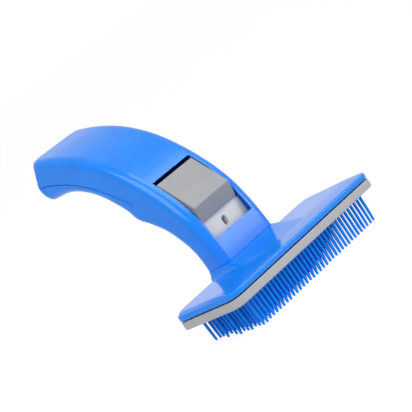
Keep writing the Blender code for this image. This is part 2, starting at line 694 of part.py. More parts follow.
def make_thumb_button():
    """Wedge with a step at the front, a pocket for the link's top and a leg behind it."""
    toe = STRIP_FRONT - GAP
    strip_top = FOOT + STRIP_HIGH + GAP
    rear = in_place(WEDGE_REAR)
    profile = [(toe - WEDGE_TOE, FOOT + WEDGE_TOE_LEVEL), (toe, FOOT + WEDGE_TOE_LEVEL), (toe, strip_top),
               (LEG_FRONT, strip_top), (LEG_FRONT, FOOT + LEG_LEVEL), (LEG_REAR, FOOT + LEG_LEVEL),
               (LEG_REAR, FOOT + LEG_ROOT_LEVEL), (rear[0] + WEDGE_BACK[0], rear[1] + WEDGE_BACK[1]), rear,
               in_place(WEDGE_EDGE)]
    top_corners = (len(profile) - 2, len(profile) - 1)
    button = new_object("thumb_button", prism(bevelled(profile, top_corners, WEDGE_BEVEL), WEDGE_HALF_WIDTH),
                        grey_slider())
    for x in mirrored(BUTTON_SCREW_SPACING / 2):
        level = FOOT + BUTTON_SCREW_LEVEL
        cut(button, rod((x, STRIP_REAR - OVERSHOOT, level), (x, LEG_REAR + OVERSHOOT, level),
                        SCREW_SHANK + 2 * GAP))
    return button


def make_push_link():
    """Strip with guide flanges and an oblong eye, a shelf for the springs and a tongue down to the plate."""
    narrow = WEDGE_HALF_WIDTH
    low = FOOT + FLANGE_LOW
    shoulder = FOOT + FLANGE_HIGH
    right = [(FLANGE_HALF_WIDTH, low), (FLANGE_HALF_WIDTH, shoulder), (narrow, shoulder + FLANGE_WIDTH),
             (narrow, FOOT + STRIP_HIGH)]
    outline = right + [(-x, z) for x, z in reversed(right)]
    strip = loft([[Vector((x, y, z)) for x, z in outline] for y in (STRIP_FRONT, STRIP_REAR)])
    link = new_object("push_link", strip, grey_slider())
    shelf_low = FOOT + SHELF_LOW
    shelf_high = shelf_low + SHELF_THICKNESS
    shelf_rear = TONGUE_REAR + SHELF_DEPTH
    middle = (STRIP_FRONT + STRIP_REAR) / 2
    foot = PLATE_HIGH + GAP
    spine = [(TONGUE_FRONT, foot), (TONGUE_REAR, foot), (TONGUE_REAR, shelf_low), (shelf_rear, shelf_low),
             (shelf_rear, shelf_high), (middle, shelf_high), (middle, low + OVERSHOOT),
             (TONGUE_FRONT, low + OVERSHOOT)]
    join(link, prism(spine, TONGUE_WIDTH / 2))
    cut(link, eye())
    for x in mirrored(BUTTON_SCREW_SPACING / 2):
        level = FOOT + BUTTON_SCREW_LEVEL
        cut(link, rod((x, LEG_REAR - BUTTON_SCREW_LENGTH, level), (x, LEG_REAR, level),
                      SCREW_SHANK + 2 * GAP))
    for x, y in plate_screw_places():
        reach = PLATE_LOW + FINE_SCREW_HEAD_HEIGHT + PLATE_SCREW_LENGTH + GAP
        cut(link, rod((x, y, PLATE_HIGH), (x, y, reach), FINE_SCREW_SHANK + GAP))
    return link


def eye():
    """Oblong bar through the strip, upright, with round ends."""
    radius = EYE_WIDTH / 2
    straight = EYE_HEIGHT / 2 - radius
    level = FOOT + EYE_LEVEL
    outline = []
    for half in (0, 1):
        for step in range(ROUND_STEPS // 2 + 1):
            angle = pi * half + pi * step / (ROUND_STEPS // 2)
            offset = straight if half == 0 else -straight
            outline.append((radius * cos(angle), level + offset + radius * sin(angle)))
    ends = (STRIP_FRONT - OVERSHOOT, TONGUE_REAR + OVERSHOOT)
    return loft([[Vector((x, y, z)) for x, z in outline] for y in ends])


def make_spring(name, x):
    """Coil spring with one closed turn at each end, between its seat and the link's shelf."""
    low = SEAT_LEVEL + GAP + SPRING_WIRE / 2
    high = FOOT + SHELF_LOW - GAP - SPRING_WIRE / 2
    closed = SPRING_WIRE + GAP
    open_rise = (high - low - 2 * closed) / (SPRING_TURNS - 2)
    radius = (SPRING_DIAMETER - SPRING_WIRE) / 2
    rings = []
    for step in range(SPRING_TURNS * SPRING_STEPS + 1):
        turn = step / SPRING_STEPS
        angle = 2 * pi * turn
        z = low + closed * min(turn, 1.0) + open_rise * min(max(turn - 1.0, 0.0), SPRING_TURNS - 2.0)
        z += closed * max(turn - SPRING_TURNS + 1.0, 0.0)
        ring = []
        for side in range(WIRE_STEPS):
            around = 2 * pi * side / WIRE_STEPS
            out = radius + SPRING_WIRE / 2 * cos(around)
            ring.append(Vector((x + out * cos(angle), SPRING_Y + out * sin(angle),
                                z + SPRING_WIRE / 2 * sin(around))))
        rings.append(ring)
    spring = new_object(name, loft(rings), steel())
    shade_round(spring)
    return spring


# Screws -----------------------------------------------------------------------------------------------------
def make_screw(name, seat, inward, length, sizes, cone=0.0):
    """Screw with a domed head, or a flush cone-shaped one; the seat is where the head's underside lies."""
    head, head_height, shank = sizes
    if cone:
        profile = [(head / 2, 0.0), (shank / 2, cone)]
    else:
        profile = [(0.36 * head, -head_height), (head / 2, -head_height / 2), (head / 2, 0.0),
                   (shank / 2, 0.0)]
    profile.append((shank / 2, length))
    rings = []
    for radius, along in profile:
        angles = [2 * pi * step / ROUND_STEPS for step in range(ROUND_STEPS)]
        rings.append([Vector((radius * cos(a), radius * sin(a), along)) for a in angles])
    screw = new_object(name, loft(rings), steel())
    screw.location = seat
    screw.rotation_mode = "QUATERNION"
    screw.rotation_quaternion = Vector(inward).to_track_quat("Z", "Y")
    shade_round(screw)
    return screw


def make_screws():
    """All screws, each in its own hole; returns those that move with the thumb button."""
    usual = (SCREW_HEAD, SCREW_HEAD_HEIGHT, SCREW_SHANK)
    fine = (FINE_SCREW_HEAD, FINE_SCREW_HEAD_HEIGHT, FINE_SCREW_SHANK)
    moving = []
    sides = ("left", "right")
    for side, x in zip(sides, mirrored(EAR_SPACING / 2)):
        seat = (x, NECK_REAR - NECK_SCREW_SINK + GAP, FOOT + NECK_SCREW_LEVEL)
        make_screw("neck_screw_" + side, seat, (0.0, -1.0, 0.0), NECK_SCREW_LENGTH, usual)
    for side, (x, y) in zip(sides, pad_screw_places()):
        make_screw("pad_screw_" + side, (x, y, BASE_LOW), (0.0, 0.0, 1.0), PAD_SCREW_LENGTH, usual,
                   PAD_SCREW_CONE)
    for name, (seat, inward) in zip(("front", "left", "right"), grip_screw_places()):
        make_screw("grip_screw_" + name, seat - inward * GAP, inward, GRIP_SCREW_LENGTH, usual)
    for side, x in zip(sides, mirrored(BUTTON_SCREW_SPACING / 2)):
        seat = (x, LEG_REAR + GAP, FOOT + BUTTON_SCREW_LEVEL)
        moving.append(make_screw("button_screw_" + side, seat, (0.0, -1.0, 0.0), BUTTON_SCREW_LENGTH, usual))
    for side, (x, y) in zip(sides, plate_screw_places()):
        seat = (x, y, PLATE_LOW + FINE_SCREW_HEAD_HEIGHT)
        moving.append(make_screw("plate_screw_" + side, seat, (0.0, 0.0, 1.0), PLATE_SCREW_LENGTH, fine))
    return moving


def main():
    for old in list(bpy.data.objects):
        bpy.data.objects.remove(old, do_unlink=True)
    make_bristle_pad()
    make_head_housing()
    make_handle()
    for side, x in zip(("left", "right"), mirrored(SPRING_SPACING / 2)):
        make_spring("return_spring_" + side, x)
    moving = [make_pusher_plate(), make_thumb_button(), make_push_link()] + make_screws()
    slide = bpy.data.objects.new("pusher_slide", None)
    slide.location = (0.0, STRIP_FRONT, FOOT)
    bpy.context.scene.collection.objects.link(slide)
    bpy.context.view_layer.update()
    for piece in moving:
        piece.parent = slide
        piece.matrix_parent_inverse = slide.matrix_world.inverted()


main()
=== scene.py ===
"""Looks of the self-cleaning slicker brush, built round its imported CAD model. Units are metres."""
import json
from math import cos, pi, radians, sin, sqrt

import bmesh
import bpy
from mathutils import Matrix, Vector


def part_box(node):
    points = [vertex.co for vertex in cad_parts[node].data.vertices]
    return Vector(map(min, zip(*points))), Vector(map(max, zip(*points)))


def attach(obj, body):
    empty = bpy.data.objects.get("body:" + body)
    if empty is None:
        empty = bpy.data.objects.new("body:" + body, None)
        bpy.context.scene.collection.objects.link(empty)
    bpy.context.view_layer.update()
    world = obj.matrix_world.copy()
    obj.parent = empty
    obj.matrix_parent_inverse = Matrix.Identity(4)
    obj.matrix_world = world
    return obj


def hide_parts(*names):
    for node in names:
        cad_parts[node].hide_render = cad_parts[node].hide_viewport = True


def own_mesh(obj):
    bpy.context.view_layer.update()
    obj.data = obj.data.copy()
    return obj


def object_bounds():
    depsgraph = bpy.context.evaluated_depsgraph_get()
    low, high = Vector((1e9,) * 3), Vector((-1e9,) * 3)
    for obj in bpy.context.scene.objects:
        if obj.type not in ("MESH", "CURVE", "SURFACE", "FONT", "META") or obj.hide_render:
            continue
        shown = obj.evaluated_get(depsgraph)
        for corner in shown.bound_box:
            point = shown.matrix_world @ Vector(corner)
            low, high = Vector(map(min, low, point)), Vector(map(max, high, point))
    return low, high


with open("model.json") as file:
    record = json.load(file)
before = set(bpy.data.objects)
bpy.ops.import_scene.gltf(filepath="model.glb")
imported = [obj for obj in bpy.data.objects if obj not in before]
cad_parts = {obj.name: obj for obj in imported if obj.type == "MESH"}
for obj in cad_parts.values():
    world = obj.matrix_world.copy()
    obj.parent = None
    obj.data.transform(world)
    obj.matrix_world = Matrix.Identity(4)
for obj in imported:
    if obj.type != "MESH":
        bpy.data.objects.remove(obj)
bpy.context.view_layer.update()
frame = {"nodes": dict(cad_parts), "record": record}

BODIES = {node: body for body, nodes in frame["record"]["behaviour"]["bodies"].items()
          for node in nodes}

# Places and sizes from the CAD model ---------------------------------------------------------
PLATE_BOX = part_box("pusher_plate")
HEAD_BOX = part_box("head_housing")
SHELL_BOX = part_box("handle_shell")
GAP = 0.0003                     # between pieces that are fixed to each other
SLIDE_GAP = 0.0006               # round what slides
PAST = 0.001                     # how far a cutting solid reaches beyond what it cuts

HEAD_HALF = PLATE_BOX[1][0]
HEAD_REAR = PLATE_BOX[1][1]
HEAD_FRONT = -HEAD_REAR
HEAD_CORNER = 0.0055
HEAD_WALL = 0.0018
PLATE_LOW = PLATE_BOX[0][2]
PLATE_HIGH = PLATE_BOX[1][2]
RIM_LOW = HEAD_BOX[0][2]
RIM_HIGH = RIM_LOW + 0.0026
BASE_THICKNESS = 0.0014          # of the pad that the bristles stand on

FOOT = SHELL_BOX[0][2]           # the neck's foot
COLLAR_HIGH = FOOT - GAP
NECK_SETBACK = HEAD_REAR - 0.00135

# (y, z) points of the handle's side view, measured from the neck's setback and foot
HANDLE_TOP = [(-0.0081, 0.0), (-0.0077, 0.0050), (-0.0071, 0.0106), (-0.0060, 0.0168),
              (-0.0037, 0.0258), (0.0005, 0.0348), (0.0039, 0.0402), (0.0074, 0.0452),
              (0.0116, 0.0504), (0.0176, 0.0569), (0.0260, 0.0641), (0.0378, 0.0715),
              (0.0508, 0.0769), (0.0630, 0.0802), (0.0715, 0.0812), (0.0762, 0.0799),
              (0.0778, 0.0768)]
HANDLE_UNDER = [(0.0070, 0.0), (0.0069, 0.0048), (0.0075, 0.0103), (0.0098, 0.0164),
                (0.0145, 0.0240), (0.0212, 0.0300), (0.0270, 0.0344), (0.0296, 0.0399),
                (0.0334, 0.0450), (0.0382, 0.0503), (0.0445, 0.0550), (0.0530, 0.0589),
                (0.0610, 0.0604), (0.0685, 0.0607), (0.0733, 0.0610), (0.0766, 0.0634),
                (0.0776, 0.0666)]
PARTING_LINE = [(0.0206, 0.0420), (0.0305, 0.0512), (0.0398, 0.0582), (0.0506, 0.0639),
                (0.0636, 0.0680), (0.0730, 0.0692), (0.0860, 0.0697)]
COVER_TOE = (0.0291, 0.0321)     # where the parting line starts at the underside

HANDLE_HALF = SHELL_BOX[1][0]
TOP_RADIUS = 0.0045
UNDER_RADIUS = 0.0050
WALL = 0.0020
LAST = len(HANDLE_TOP) - 1       # section at the rear end
HOLLOW_END = 14                  # section at which the hollow stops
NECK_FRONT = NECK_SETBACK + HANDLE_TOP[0][0]
NECK_REAR = NECK_SETBACK + HANDLE_UNDER[0][0]
APRON_REAR = NECK_SETBACK + HANDLE_TOP[0][0] + 0.0042    # inside of the neck's front wall

# The thumb slot; heights from the foot
SLOT_HALF = HANDLE_HALF - 0.0054
SLOT_LOW = 0.0107
SLOT_HIGH = 0.0453

# The rear end
END_LENGTH = 0.0140              # over which it draws in
END_FLAT = 0.0105                # half width over which it is straight, seen from above
END_FORWARD = 0.0022             # how far forward its underside lies
END_LEAN = 0.0028                # how much further its top does
END_ROUND = 0.00205              # how much further the underside's corners lie
END_TOP_ROUND = 0.00420          # how much more the top's corners do
END_SWELL = 0.0017               # how far the middle of its top stands up
END_SWELL_RUN = 1.4              # over how many sections
END_DROOP = 0.0016               # how far its top corners hang

# The mechanism; heights from the foot
WEDGE_HALF = SLOT_HALF - SLIDE_GAP
FLANGE = 0.0022                  # of the link, behind the slot's edges
STRIP_FRONT = APRON_REAR + SLIDE_GAP
STRIP_REAR = STRIP_FRONT + 0.0024
STRIP_HIGH = 0.0240
TOE_LOW = 0.0192                 # lower edge of the wedge's toe
TOE_STEP = 0.0005                # how far the toe stands in front of the strip
TOE_TRAVEL = 0.0106              # what the toe needs below it
TONGUE_FRONT = STRIP_FRONT + 0.0007
TONGUE_REAR = TONGUE_FRONT + 0.0026
PASSAGE_HALF = WEDGE_HALF + FLANGE + SLIDE_GAP
PASSAGE_REAR = TONGUE_REAR + GAP

# Screws: the diameter and height of the head, and the diameter of the shank
SCREW = (0.0040, 0.0014, 0.0020)
SMALL_SCREW = (0.0026, 0.0010, 0.0014)
SCREW_HOLE = 0.0046
HOLE_LENGTH = 0.0050             # of the cutting rods in the cover
NECK_SINK = 0.0016               # depth of the seats in the neck's rear
SEAT_WALL = 0.0014               # what is left of the neck's rear wall below them
NECK_SCREW_HIGH = 0.0050
GRIP_SINK = 0.0026               # depth of the seats in the cover
GRIP_SCREWS = {"front": (0.0, 9), "left": (-0.0090, 13), "right": (0.0090, 13)}  # x and section
EAR_REAR = NECK_REAR - NECK_SINK - SEAT_WALL - GAP
EAR_X = HANDLE_HALF - 0.0052
PAD_SCREWS = [(-0.0150, 0.0081), (0.0150, 0.0081)]
PLATE_SCREWS = [(x, (TONGUE_FRONT + TONGUE_REAR) / 2) for x in (-0.00625, 0.00625)]

# Angles between faces above which shading shows an edge, in radians
CREASE = 0.6
SOFT_CREASE = 0.5
PIN_CREASE = 0.9
COIL_CREASE = 1.2


def clamp(value):
    return min(max(value, 0.0), 1.0)


def in_place(y, z):
    """(y, z) of a point of the handle's side view in the brush's frame."""
    return y + NECK_SETBACK, z + FOOT


# Materials -----------------------------------------------------------------------------------
def nodes_of(name, metallic, roughness):
    """A new material, its node tree and its principled shader."""
    made = bpy.data.materials.new(name)
    made.use_nodes = True
    tree = made.node_tree
    shader = tree.nodes["Principled BSDF"]
    shader.inputs["Metallic"].default_value = metallic
    shader.inputs["Roughness"].default_value = roughness
    return made, tree, shader


def noise(tree, scale, detail, rough=0.5, stretch=(1.0, 1.0, 1.0)):
    """Noise in the object's own coordinates; the scale is in lumps per metre."""
    where = tree.nodes.new("ShaderNodeTexCoord")
    turn = tree.nodes.new("ShaderNodeMapping")
    turn.inputs["Scale"].default_value = stretch
    made = tree.nodes.new("ShaderNodeTexNoise")
    made.inputs["Scale"].default_value = scale
    made.inputs["Detail"].default_value = detail
    made.inputs["Roughness"].default_value = rough
    tree.links.new(where.outputs["Object"], turn.inputs["Vector"])
    tree.links.new(turn.outputs["Vector"], made.inputs["Vector"])
    return made.outputs["Fac"]


def between(tree, value, low, high, start=0.35, end=0.65):
    """Maps a value from start..end to low..high."""
    made = tree.nodes.new("ShaderNodeMapRange")
    for socket, number in (("From Min", start), ("From Max", end), ("To Min", low),
                           ("To Max", high)):
        made.inputs[socket].default_value = number
    tree.links.new(value, made.inputs["Value"])
    return made.outputs["Result"]


def drift(tree, shader, value, first, second):
    """Lets the colour wander between two tones."""
    made = tree.nodes.new("ShaderNodeMix")
    made.data_type = "RGBA"
    made.inputs["A"].default_value = (*first, 1.0)
    made.inputs["B"].default_value = (*second, 1.0)
    tree.links.new(between(tree, value, 0.0, 1.0), made.inputs["Factor"])
    tree.links.new(made.outputs["Result"], shader.inputs["Base Color"])


def bump(tree, shader, layers):
    """Chains bumps: each layer is a height, a strength and a distance in metres."""
    last = None
    for height, strength, distance in layers:
        made = tree.nodes.new("ShaderNodeBump")
        made.inputs["Strength"].default_value = strength
        made.inputs["Distance"].default_value = distance
        tree.links.new(height, made.inputs["Height"])
        if last:
            tree.links.new(last, made.inputs["Normal"])
        last = made.outputs["Normal"]
    tree.links.new(last, shader.inputs["Normal"])


def gloss_blue(name, first, second, smooth, scuffed, shine):
    """Glossy moulded ABS: slight drift of colour, faint flow waves and scuffed spots."""
    made, tree, shader = nodes_of(name, metallic=0.0, roughness=0.2)
    scuff = noise(tree, scale=420.0, detail=4.0, rough=0.6)
    wave = noise(tree, scale=110.0, detail=1.0)
    grain = noise(tree, scale=2400.0, detail=2.0)
    drift(tree, shader, noise(tree, scale=60.0, detail=2.0), first, second)
    tree.links.new(between(tree, scuff, smooth, scuffed), shader.inputs["Roughness"])
    shader.inputs["Specular IOR Level"].default_value = shine
    bump(tree, shader, [(wave, 0.03, 0.0002), (grain, 0.02, 0.00002)])
    return made


def matte_grey(name, first, second, smooth, scuffed):
    """Fine-textured moulded plastic."""
    made, tree, shader = nodes_of(name, metallic=0.0, roughness=0.4)
    scuff = noise(tree, scale=1500.0, detail=4.0, rough=0.6)
    grain = noise(tree, scale=4200.0, detail=3.0, rough=0.7)
    drift(tree, shader, noise(tree, scale=90.0, detail=3.0), first, second)
    tree.links.new(between(tree, scuff, smooth, scuffed), shader.inputs["Roughness"])
    bump(tree, shader, [(grain, 0.30, 0.00008)])
    return made


def brushed_steel(name):
    """Steel with fine upright lines."""
    made, tree, shader = nodes_of(name, metallic=1.0, roughness=0.3)
    fine = noise(tree, scale=3000.0, detail=3.0, rough=0.6, stretch=(1.0, 1.0, 0.15))
    drift(tree, shader, fine, (0.50, 0.51, 0.53), (0.66, 0.67, 0.69))
    tree.links.new(between(tree, fine, 0.24, 0.40), shader.inputs["Roughness"])
    bump(tree, shader, [(fine, 0.2, 0.00003)])
    return made


LOOKS = {
    "blue_shell": gloss_blue("blue_shell_look", (0.0, 0.222, 0.88), (0.0, 0.240, 0.92),
                             smooth=0.12, scuffed=0.20, shine=0.34),
    "blue_bristle": gloss_blue("blue_bristle_look", (0.0, 0.240, 0.98), (0.0, 0.280, 1.00),
                               smooth=0.22, scuffed=0.34, shine=0.16),
    "grey_slider": matte_grey("grey_slider_look", (0.40, 0.405, 0.43), (0.43, 0.435, 0.46),
                              smooth=0.36, scuffed=0.50),
    "steel": brushed_steel("steel_look"),
}
# Painted shade: a darker, rougher blue for the slot's side walls, standing in for the shadow inside
# the slot.
SLOT_SHADE_LOOK = gloss_blue("slot_shade_look", (0.0, 0.075, 0.33), (0.0, 0.085, 0.37),
                         smooth=0.34, scuffed=0.48, shine=0.15)
# Partly painted shade: the button gets a darker copy of the slider grey, which matches its top and
# also darkens its step face as if shaded.
SHADED_BUTTON_LOOK = matte_grey("button_look", (0.275, 0.280, 0.295), (0.300, 0.305, 0.320),
                         smooth=0.30, scuffed=0.42)
# Painted light: the strip gets a much lighter copy of the slider grey, standing in for the light
# that falls on it.
LIT_STRIP_LOOK = matte_grey("lit_strip_look", (0.70, 0.70, 0.665), (0.74, 0.74, 0.705),
                        smooth=0.34, scuffed=0.46)
SLOTS = {"handle_shell": "blue_shell", "grip_cover": "blue_shell", "head_housing": "blue_shell",
         "bristle_pad": "blue_bristle", "pusher_plate": "grey_slider",
         "push_link": "grey_slider", "thumb_button": "grey_slider"}


# Meshes --------------------------------------------------------------------------------------
def put(name, data):
    """A new object in the scene."""
    made = bpy.data.objects.new(name, data)
    bpy.context.scene.collection.objects.link(made)
    return made


def mesh_of(name, solid):
    """Turns a bmesh into a mesh."""
    mesh = bpy.data.meshes.new(name)
    solid.to_mesh(mesh)
    solid.free()
    return mesh


def piece(name, solid, slot, node, crease=CREASE):
    """Turns a bmesh into a named piece that stands for a CAD node and moves with its body."""
    bmesh.ops.remove_doubles(solid, verts=solid.verts, dist=1e-6)
    bmesh.ops.dissolve_degenerate(solid, edges=solid.edges, dist=1e-7)
    bmesh.ops.recalc_face_normals(solid, faces=solid.faces)
    mesh = mesh_of(name, solid)
    mesh.materials.append(LOOKS[slot])
    mesh.shade_smooth()
    mesh.set_sharp_from_angle(angle=crease)
    made = put(name, mesh)
    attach(made, BODIES[node])
    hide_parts(node)
    return made


def apply(target):
    """Makes the modifiers part of the mesh."""
    bpy.context.view_layer.update()
    before = target.data
    graph = bpy.context.evaluated_depsgraph_get()
    target.data = bpy.data.meshes.new_from_object(target.evaluated_get(graph))
    target.modifiers.clear()
    bpy.data.meshes.remove(before)


def settle(target, crease=CREASE):
    """Keeps big faces flat and shades small ones smoothly between them."""
    target.data.shade_smooth()
    target.data.set_sharp_from_angle(angle=crease)
    normals = target.modifiers.new("normals", "WEIGHTED_NORMAL")
    normals.mode = "FACE_AREA_WITH_ANGLE"
    normals.keep_sharp = True
    apply(target)


def rounded(target, width, segments):
    """Rounds every edge sharper than 35 degrees."""
    bevel = target.modifiers.new("rounded", "BEVEL")
    bevel.width = width
    bevel.segments = segments
    bevel.limit_method = "ANGLE"
    bevel.angle_limit = radians(35.0)
    bevel.use_clamp_overlap = True
    bevel.miter_outer = "MITER_ARC"
    apply(target)


def boolean(target, solid, operation="DIFFERENCE"):
    """Cuts a solid out of a piece, or joins it on. The solid is used up."""
    bmesh.ops.recalc_face_normals(solid, faces=solid.faces)
    tool = put("tool", mesh_of("tool", solid))
    change = target.modifiers.new("change", "BOOLEAN")
    change.operation = operation
    change.solver = "EXACT"
    change.object = tool
    apply(target)
    mesh = tool.data
    bpy.data.objects.remove(tool)
    bpy.data.meshes.remove(mesh)


def band(solid, lower, upper):
    """Faces between two rings of vertices."""
    for index in range(len(lower)):
        solid.faces.new((lower[index - 1], lower[index], upper[index], upper[index - 1]))


def loft(outlines):
    """Solid through outlines that have equal numbers of points."""
    solid = bmesh.new()
    rings = [[solid.verts.new(point) for point in outline] for outline in outlines]
    for lower, upper in zip(rings, rings[1:]):
        band(solid, lower, upper)
    solid.faces.new(list(reversed(rings[0])))
    solid.faces.new(rings[-1])
    return solid


def side_prism(profile, half_width):
    """Solid of a (y, z) profile, extruded to both sides along x."""
    return loft([[Vector((x, y, z)) for y, z in profile] for x in (-half_width, half_width)])


def front_prism(profile, y_front, y_rear):
    """Solid of an (x, z) profile, extruded along y."""
    return loft([[Vector((x, y, z)) for x, z in profile] for y in (y_front, y_rear)])


def block(low, high):
    """Box between two corners."""
    solid = bmesh.new()
    size = [b - a for a, b in zip(low, high)]
    middle = [(a + b) / 2 for a, b in zip(low, high)]
    place = Matrix.Translation(middle) @ Matrix.Diagonal((*size, 1.0))
    bmesh.ops.create_cube(solid, size=1.0, matrix=place)
    return solid


def rod(start, end, diameter):
    """Round solid between two points."""
    start = Vector(start)
    end = Vector(end)
    solid = bmesh.new()
    turn = (end - start).to_track_quat("Z", "Y").to_matrix().to_4x4()
    bmesh.ops.create_cone(solid, cap_ends=True, segments=28, radius1=diameter / 2,
                          radius2=diameter / 2, depth=(end - start).length,
                          matrix=Matrix.Translation((start + end) / 2) @ turn)
    return solid


def circle(x, y, z, radius, sides):
    return [Vector((x + radius * cos(2 * pi * side / sides),
                    y + radius * sin(2 * pi * side / sides), z)) for side in range(sides)]


def rounded_rectangle(half_x, y_front, y_rear, front_radius, rear_radius, steps, runs):
    """Plan with round corners; the runs say how many points divide the sides along y and x."""
    corners = [(half_x - front_radius, y_front + front_radius, -pi / 2, front_radius),
               (half_x - rear_radius, y_rear - rear_radius, 0.0, rear_radius),
               (rear_radius - half_x, y_rear - rear_radius, pi / 2, rear_radius),
               (front_radius - half_x, y_front + front_radius, pi, front_radius)]
    arcs = []
    for x, y, start, radius in corners:
        angles = [start + pi / 2 * step / steps for step in range(steps + 1)]
        arcs.append([Vector((x + radius * cos(angle), y + radius * sin(angle)))
                     for angle in angles])
    outline = []
    for number, arc in enumerate(arcs):
        count = runs[number % 2]
        following = arcs[(number + 1) % 4][0]
        outline += arc + [arc[-1].lerp(following, (step + 1) / (count + 1))
                          for step in range(count)]
    return outline


def head_outline(inset, z):
    """The head's plan, drawn in by the inset."""
    half_y = HEAD_REAR - inset
    radius = HEAD_CORNER - inset
    plan = rounded_rectangle(HEAD_HALF - inset, -half_y, half_y, radius, radius, 10, (9, 23))
    return [Vector((x, y, z)) for x, y in plan]


def rim_rings(low, high, low_round, high_round):
    """Outlines of a band round the head's plan with both of its edges rounded."""
    angles = [pi / 2 * step / 4 for step in range(5)]
    lower = [head_outline(low_round * (1 - sin(angle)), low + low_round * (1 - cos(angle)))
             for angle in angles]
    upper = [head_outline(high_round * (1 - cos(angle)), high - high_round * (1 - sin(angle)))
             for angle in angles]
    return lower + upper


# Handle --------------------------------------------------------------------------------------
# A value t stands for a cross-section: whole values are the listed points of the side view.
FINE = 6                         # steps between two listed points
ARC_STEPS = 9
ACROSS = (0.0, 0.0030, 0.0060, END_FLAT, 0.0120)
COLUMNS = ([("under", x) for x in ACROSS]
           + [("under arc", pi / 2 * step / ARC_STEPS) for step in range(ARC_STEPS + 1)]
           + [("side", share) for share in (0.25, 0.5, 0.75)]
           + [("top arc", pi / 2 * step / ARC_STEPS) for step in range(ARC_STEPS + 1)]
           + [("top", x) for x in (SLOT_HALF, *reversed(ACROSS))])
SLOT_COLUMN = COLUMNS.index(("top", SLOT_HALF))
CAP_SHARES = [1.0, 0.96, 0.87, 0.72, 0.5, 0.25, 0.0]     # how open the rings of the end cap are
OUTER_FACE, RIM_FACE, INNER_FACE = 0, 1, 2


def curve_point(points, t):
    """Catmull-Rom curve through (y, z) points."""
    index = min(int(t), len(points) - 2)
    u = t - index
    a = Vector(points[max(index - 1, 0)])
    b = Vector(points[index])
    c = Vector(points[index + 1])
    d = Vector(points[min(index + 2, len(points) - 1)])
    return b + ((c - a) * u + (2 * a - 5 * b + 4 * c - d) * u ** 2
                + (3 * b - a - 3 * c + d) * u ** 3) / 2


def section(t):
    """Foot, direction and depth of one cross-section, seen from the side."""
    under = curve_point(HANDLE_UNDER, t)
    top = curve_point(HANDLE_TOP, t)
    return under, (top - under).normalized(), (top - under).length


def handle_point(t, x, up):
    """Point of a cross-section at a distance up from its underside, in the brush's frame."""
    under, across, depth = section(t)
    point = under + across * up
    share = clamp((point.x - HANDLE_TOP[-1][0] + END_LENGTH) / END_LENGTH)
    height = clamp(up / depth)
    reach = max(abs(x) - END_FLAT, 0.0) / (HANDLE_HALF - END_FLAT)

    straight = END_FORWARD + END_LEAN * height
    corner = END_ROUND + END_TOP_ROUND * height ** 2
    forward = share * (straight + corner * reach ** 2)

    ramp = clamp((t - LAST + END_SWELL_RUN) / END_SWELL_RUN)
    middle = (1 - (x / HANDLE_HALF) ** 2) ** 2
    swell = END_SWELL * share * height ** 4 * middle * ramp ** 2 * (3 - 2 * ramp)

    early = min(1.6 * share, 1.0)
    droop = END_DROOP * early ** 2 * (3 - 2 * early) * reach ** 2 * height ** 2

    y = point.x - forward
    return Vector((x, y + NECK_SETBACK, point.y + FOOT + swell - droop))


def outline_point(column, depth, inset):
    """(x, distance up) of a column of the half outline."""
    kind, value = column
    under = UNDER_RADIUS - inset
    top = TOP_RADIUS - inset
    if kind == "under":
        return value, inset
    if kind == "under arc":
        return (HANDLE_HALF - UNDER_RADIUS + under * sin(value),
                UNDER_RADIUS - under * cos(value))
    if kind == "side":
        return HANDLE_HALF - inset, UNDER_RADIUS + value * (depth - UNDER_RADIUS - TOP_RADIUS)
    if kind == "top arc":
        return (HANDLE_HALF - TOP_RADIUS + top * cos(value),
                depth - TOP_RADIUS + top * sin(value))
    return value, depth - inset


def outline_x(up, depth, inset):
    """Half width of the outline at a distance up."""
    if up < UNDER_RADIUS:
        radius = UNDER_RADIUS - inset
        square = radius ** 2 - (UNDER_RADIUS - up) ** 2
        return HANDLE_HALF - UNDER_RADIUS + sqrt(max(square, 0.0))
    if up > depth - TOP_RADIUS:
        radius = TOP_RADIUS - inset
        square = radius ** 2 - (up - depth + TOP_RADIUS) ** 2
        return HANDLE_HALF - TOP_RADIUS + sqrt(max(square, 0.0))
    return HANDLE_HALF - inset


def parting_points(shift):
    """The parting line from the cover's toe, shifted down and to the rear."""
    curve = [curve_point(PARTING_LINE, step / FINE)
             for step in range(FINE * (len(PARTING_LINE) - 1) + 1)]
    return [point + Vector((shift, -shift)) for point in [Vector(COVER_TOE)] + curve]


def parting_height(t, line):
    """Distance up a cross-section to the line, or nothing where the line doesn't cross it."""
    under, across, depth = section(t)
    best = None
    for start, end in zip(line, line[1:]):
        along = end - start
        spread = across.x * along.y - across.y * along.x
        if abs(spread) < 1e-12:
            continue
        offset = start - under
        up = (offset.x * along.y - offset.y * along.x) / spread
        share = (offset.x * across.y - offset.y * across.x) / spread
        if -1e-9 <= share <= 1.0 and -1e-6 <= up <= depth:
            best = up if best is None else max(best, up)
    return best


def solve(wanted, low, high):
    """The value of t at which a test turns from false to true."""
    for _ in range(40):
        middle = (low + high) / 2
        if wanted(middle):
            high = middle
        else:
            low = middle
    return high


def front_section(level):
    """Section at which the front of the handle rises past a height."""
    return solve(lambda t: curve_point(HANDLE_TOP, t).y > level, 1.0, 12.0)


def grid_point(row, below, column, inset):
    """Point of the wall's outer or inner face. A row is a section, how far it is squeezed
    together in the end cap, and how high up the parting line crosses it."""
    t, squeeze, limit = row
    depth = section(t)[2]
    flat_up = outline_point(column, depth, 0.0)[1]
    held = limit is not None and ((flat_up > limit) if below else (flat_up <= limit + 1e-9))
    if inset:
        t = min(t, HOLLOW_END)
        depth = section(t)[2]
    x, up = outline_point(column, depth, inset)
    line = None if limit is None else min(max(limit, inset), depth - inset)
    if held and (below or squeeze is None):
        x, up = outline_x(line, depth, inset), line
    elif squeeze is not None:
        up = depth / 2 + (up - depth / 2) * squeeze
        if line is not None:
            up = min(up, line) if below else max(up, line)
    point = handle_point(t, x, up)
    if inset:
        point.y = max(point.y, APRON_REAR)
    return point


